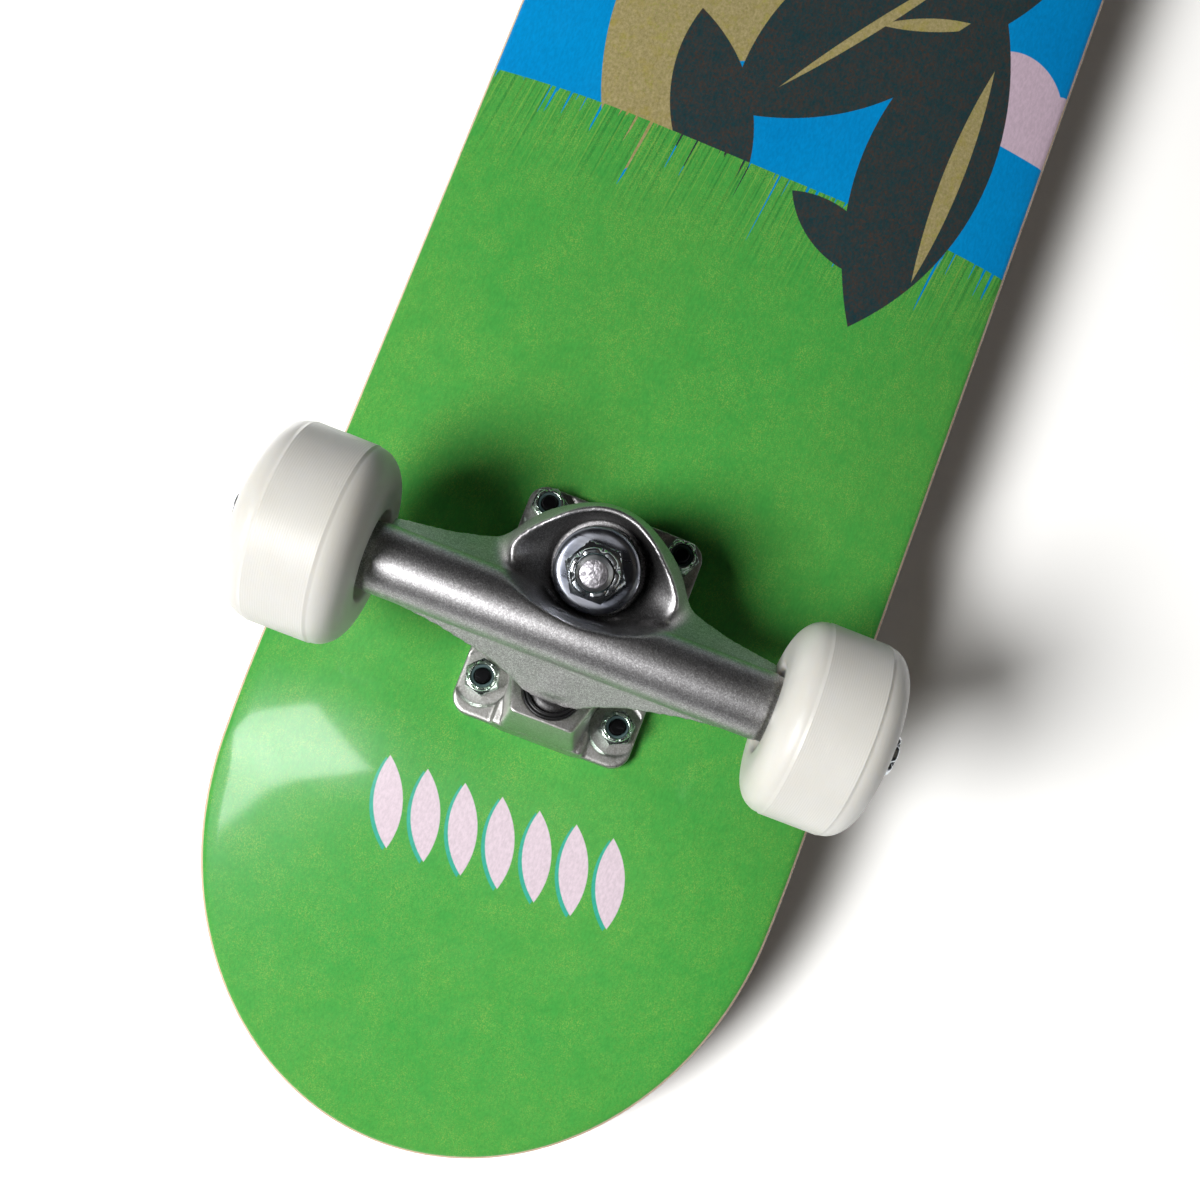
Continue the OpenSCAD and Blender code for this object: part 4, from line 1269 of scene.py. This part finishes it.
def make_wheel(end, side):
    place = wheel_frame(end, side)
    name = f"{end}_{side}"
    tyre = Build().add(*lathe(wheel_profile(), 144), place=raised(WHEEL_MIDDLE))
    show(name + "_wheel_tyre", welded(tyre.mesh("wheel", place)), "wheel", name + "_wheel",
         name + "_wheel", sharp=50)
    make_shields(end, side)
    make_rings(end, side)
    washers = Build()
    for at in (0.0, BEARINGS_AT[1] + BEARING_W):
        ring = [(4.02, 0.0), (5.6, 0.0), (5.6, 1.0), (4.02, 1.0)]
        washers.add(*solid(ring, 48, 0.2), place=raised(at))
    show(name + "_speed_washer_pair", washers.mesh("washers", place), "steel", end + "_hanger",
         name + "_speed_washers")
    nut = Build()
    lock_nut(nut, raised(NUT_AT), AXLE_HEX, 5.0, 2.0, 3.97)
    show(name + "_axle_lock_nut", nut.mesh("axle_nut", place), "zinc nylon", end + "_hanger",
         name + "_axle_nut")

    # CAD nodes whose shape is right keep it, with a finished material
    for node, material in (("bearing_balls", "ball"), ("bearing_cages", "cage"),
                           ("bearing_spacer", "steel")):
        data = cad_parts[f"{name}_{node}"].data
        data.materials.clear()
        data.materials.append(MATERIAL[material])


make_board()
make_castings()
for truck in ENDS:
    for make_part in (make_kingpin, make_washers, make_bushings, make_pivot_cup, make_axle, make_hardware):
        make_part(truck)
    for wheel_side in SIDES:
        make_wheel(truck, wheel_side)

# ---------------------------------------------------------------- stage, light and camera

FLOOR_TONE = (0.9, 0.9, 0.89, 1)
OVEREXPOSED_WHITE = (1.42, 1.41, 1.38, 1)
STUDIO_BELOW = 0.014
STUDIO_ABOVE = 0.65
TABLETOP_GAP = 0.0003


def stage_sheet(name, x, z, size, turn, tone, mirrored):
    """A pale sheet that faces up (turn 1) or down (-1) and can't be seen from behind."""
    corners = [(x + sx * size, sy * turn * size, z) for sx, sy in ((-1, -1), (1, -1), (1, 1), (-1, 1))]
    data = bpy.data.meshes.new(name)
    data.from_pydata(corners, [], [(0, 1, 2, 3)])
    sheet = added(name, data)
    paint = Paint(name + "_paper")
    paint.finish(Base_Color=tone, Roughness=0.9, Specular_IOR_Level=0.1)
    pick = paint.node("ShaderNodeMixShader")
    clear = paint.node("ShaderNodeBsdfTransparent").outputs[0]
    behind = paint.node("ShaderNodeNewGeometry").outputs["Backfacing"]
    paint.feed(pick.inputs, {0: behind, 1: paint.shader.outputs[0], 2: clear})
    paint.link(pick.outputs[0], paint.output.inputs["Surface"])
    data.materials.append(paint.material)
    sheet.visible_shadow = False
    sheet.visible_diffuse = False
    sheet.visible_glossy = mirrored


def make_world():
    """A pale studio overhead and a dim one underneath, blended at the horizon."""
    world = bpy.data.worlds.new("studio")
    bpy.context.scene.world = world
    world.use_nodes = True
    tree = world.node_tree
    back = tree.nodes["Background"]
    place = tree.nodes.new("ShaderNodeTexCoord")
    parts = tree.nodes.new("ShaderNodeSeparateXYZ")
    rise = tree.nodes.new("ShaderNodeMapRange")
    rise.interpolation_type = "SMOOTHSTEP"
    for key, value in (("From Min", -0.10), ("From Max", 0.06), ("To Min", STUDIO_BELOW),
                       ("To Max", STUDIO_ABOVE)):
        rise.inputs[key].default_value = value
    tree.links.new(place.outputs["Generated"], parts.inputs[0])
    tree.links.new(parts.outputs[2], rise.inputs["Value"])
    tree.links.new(rise.outputs[0], back.inputs[1])
    back.inputs[0].default_value = (0.97, 0.98, 1.0, 1)


def area_light(name, place, target, size, power, colour=(1, 1, 1)):
    data = bpy.data.lights.new(name, "AREA")
    data.shape = "RECTANGLE"
    data.size = data.size_y = size
    data.energy = power
    data.color = colour
    lamp = added(name, data)
    lamp.location = place
    lamp.rotation_euler = (target - place).to_track_quat("-Z", "Y").to_euler()


def make_lights():
    """Soft studio light on both faces of the board: a key off the tail's right for the underside."""
    middle = Vector((0, 0, 0))
    area_light("key_below", TAIL + Vector((-0.65, -0.73, -1.23)), TAIL, 0.60, 31)
    area_light("fill_below", TAIL + Vector((0.2, 0.9, -1.5)), TAIL, 1.2, 0.3, (1.0, 0.86, 0.66))
    area_light("key_above", Vector((0.7, -1.0, 1.5)), middle, 1.2, 24)
    area_light("fill_above", Vector((-1.0, 1.2, 1.3)), middle, 1.6, 6)


def make_camera():
    """Below the tail's truck, looking up at the underside and a little towards the nose."""
    data = bpy.data.cameras.new("camera")
    data.sensor_width = 36.0
    data.lens = 38.53
    data.shift_x = -0.0528
    data.shift_y = 0.1186
    data.clip_start = 0.02
    camera = added("camera", data)
    right = Vector((0.34709, 0.93209, -0.10358)).normalized()
    forward = Vector((0.10455, 0.0713, 0.99196)).normalized()
    turn = Matrix((right, right.cross(forward), -forward)).transposed().to_4x4()
    camera.matrix_world = Matrix.Translation(TAIL + Vector((-0.0651, 0.0082, -0.3786))) @ turn
    bpy.context.scene.camera = camera
    bpy.context.scene.view_settings.view_transform = "Standard"


stage_sheet("floor", 0, CAD_BOX[0][2], 25.0, 1, FLOOR_TONE, False)
stage_sheet("tabletop", TAIL.x, CAD_BOX[1][2] + TABLETOP_GAP, 0.40, -1, OVEREXPOSED_WHITE, True)
make_world()
make_lights()
make_camera()
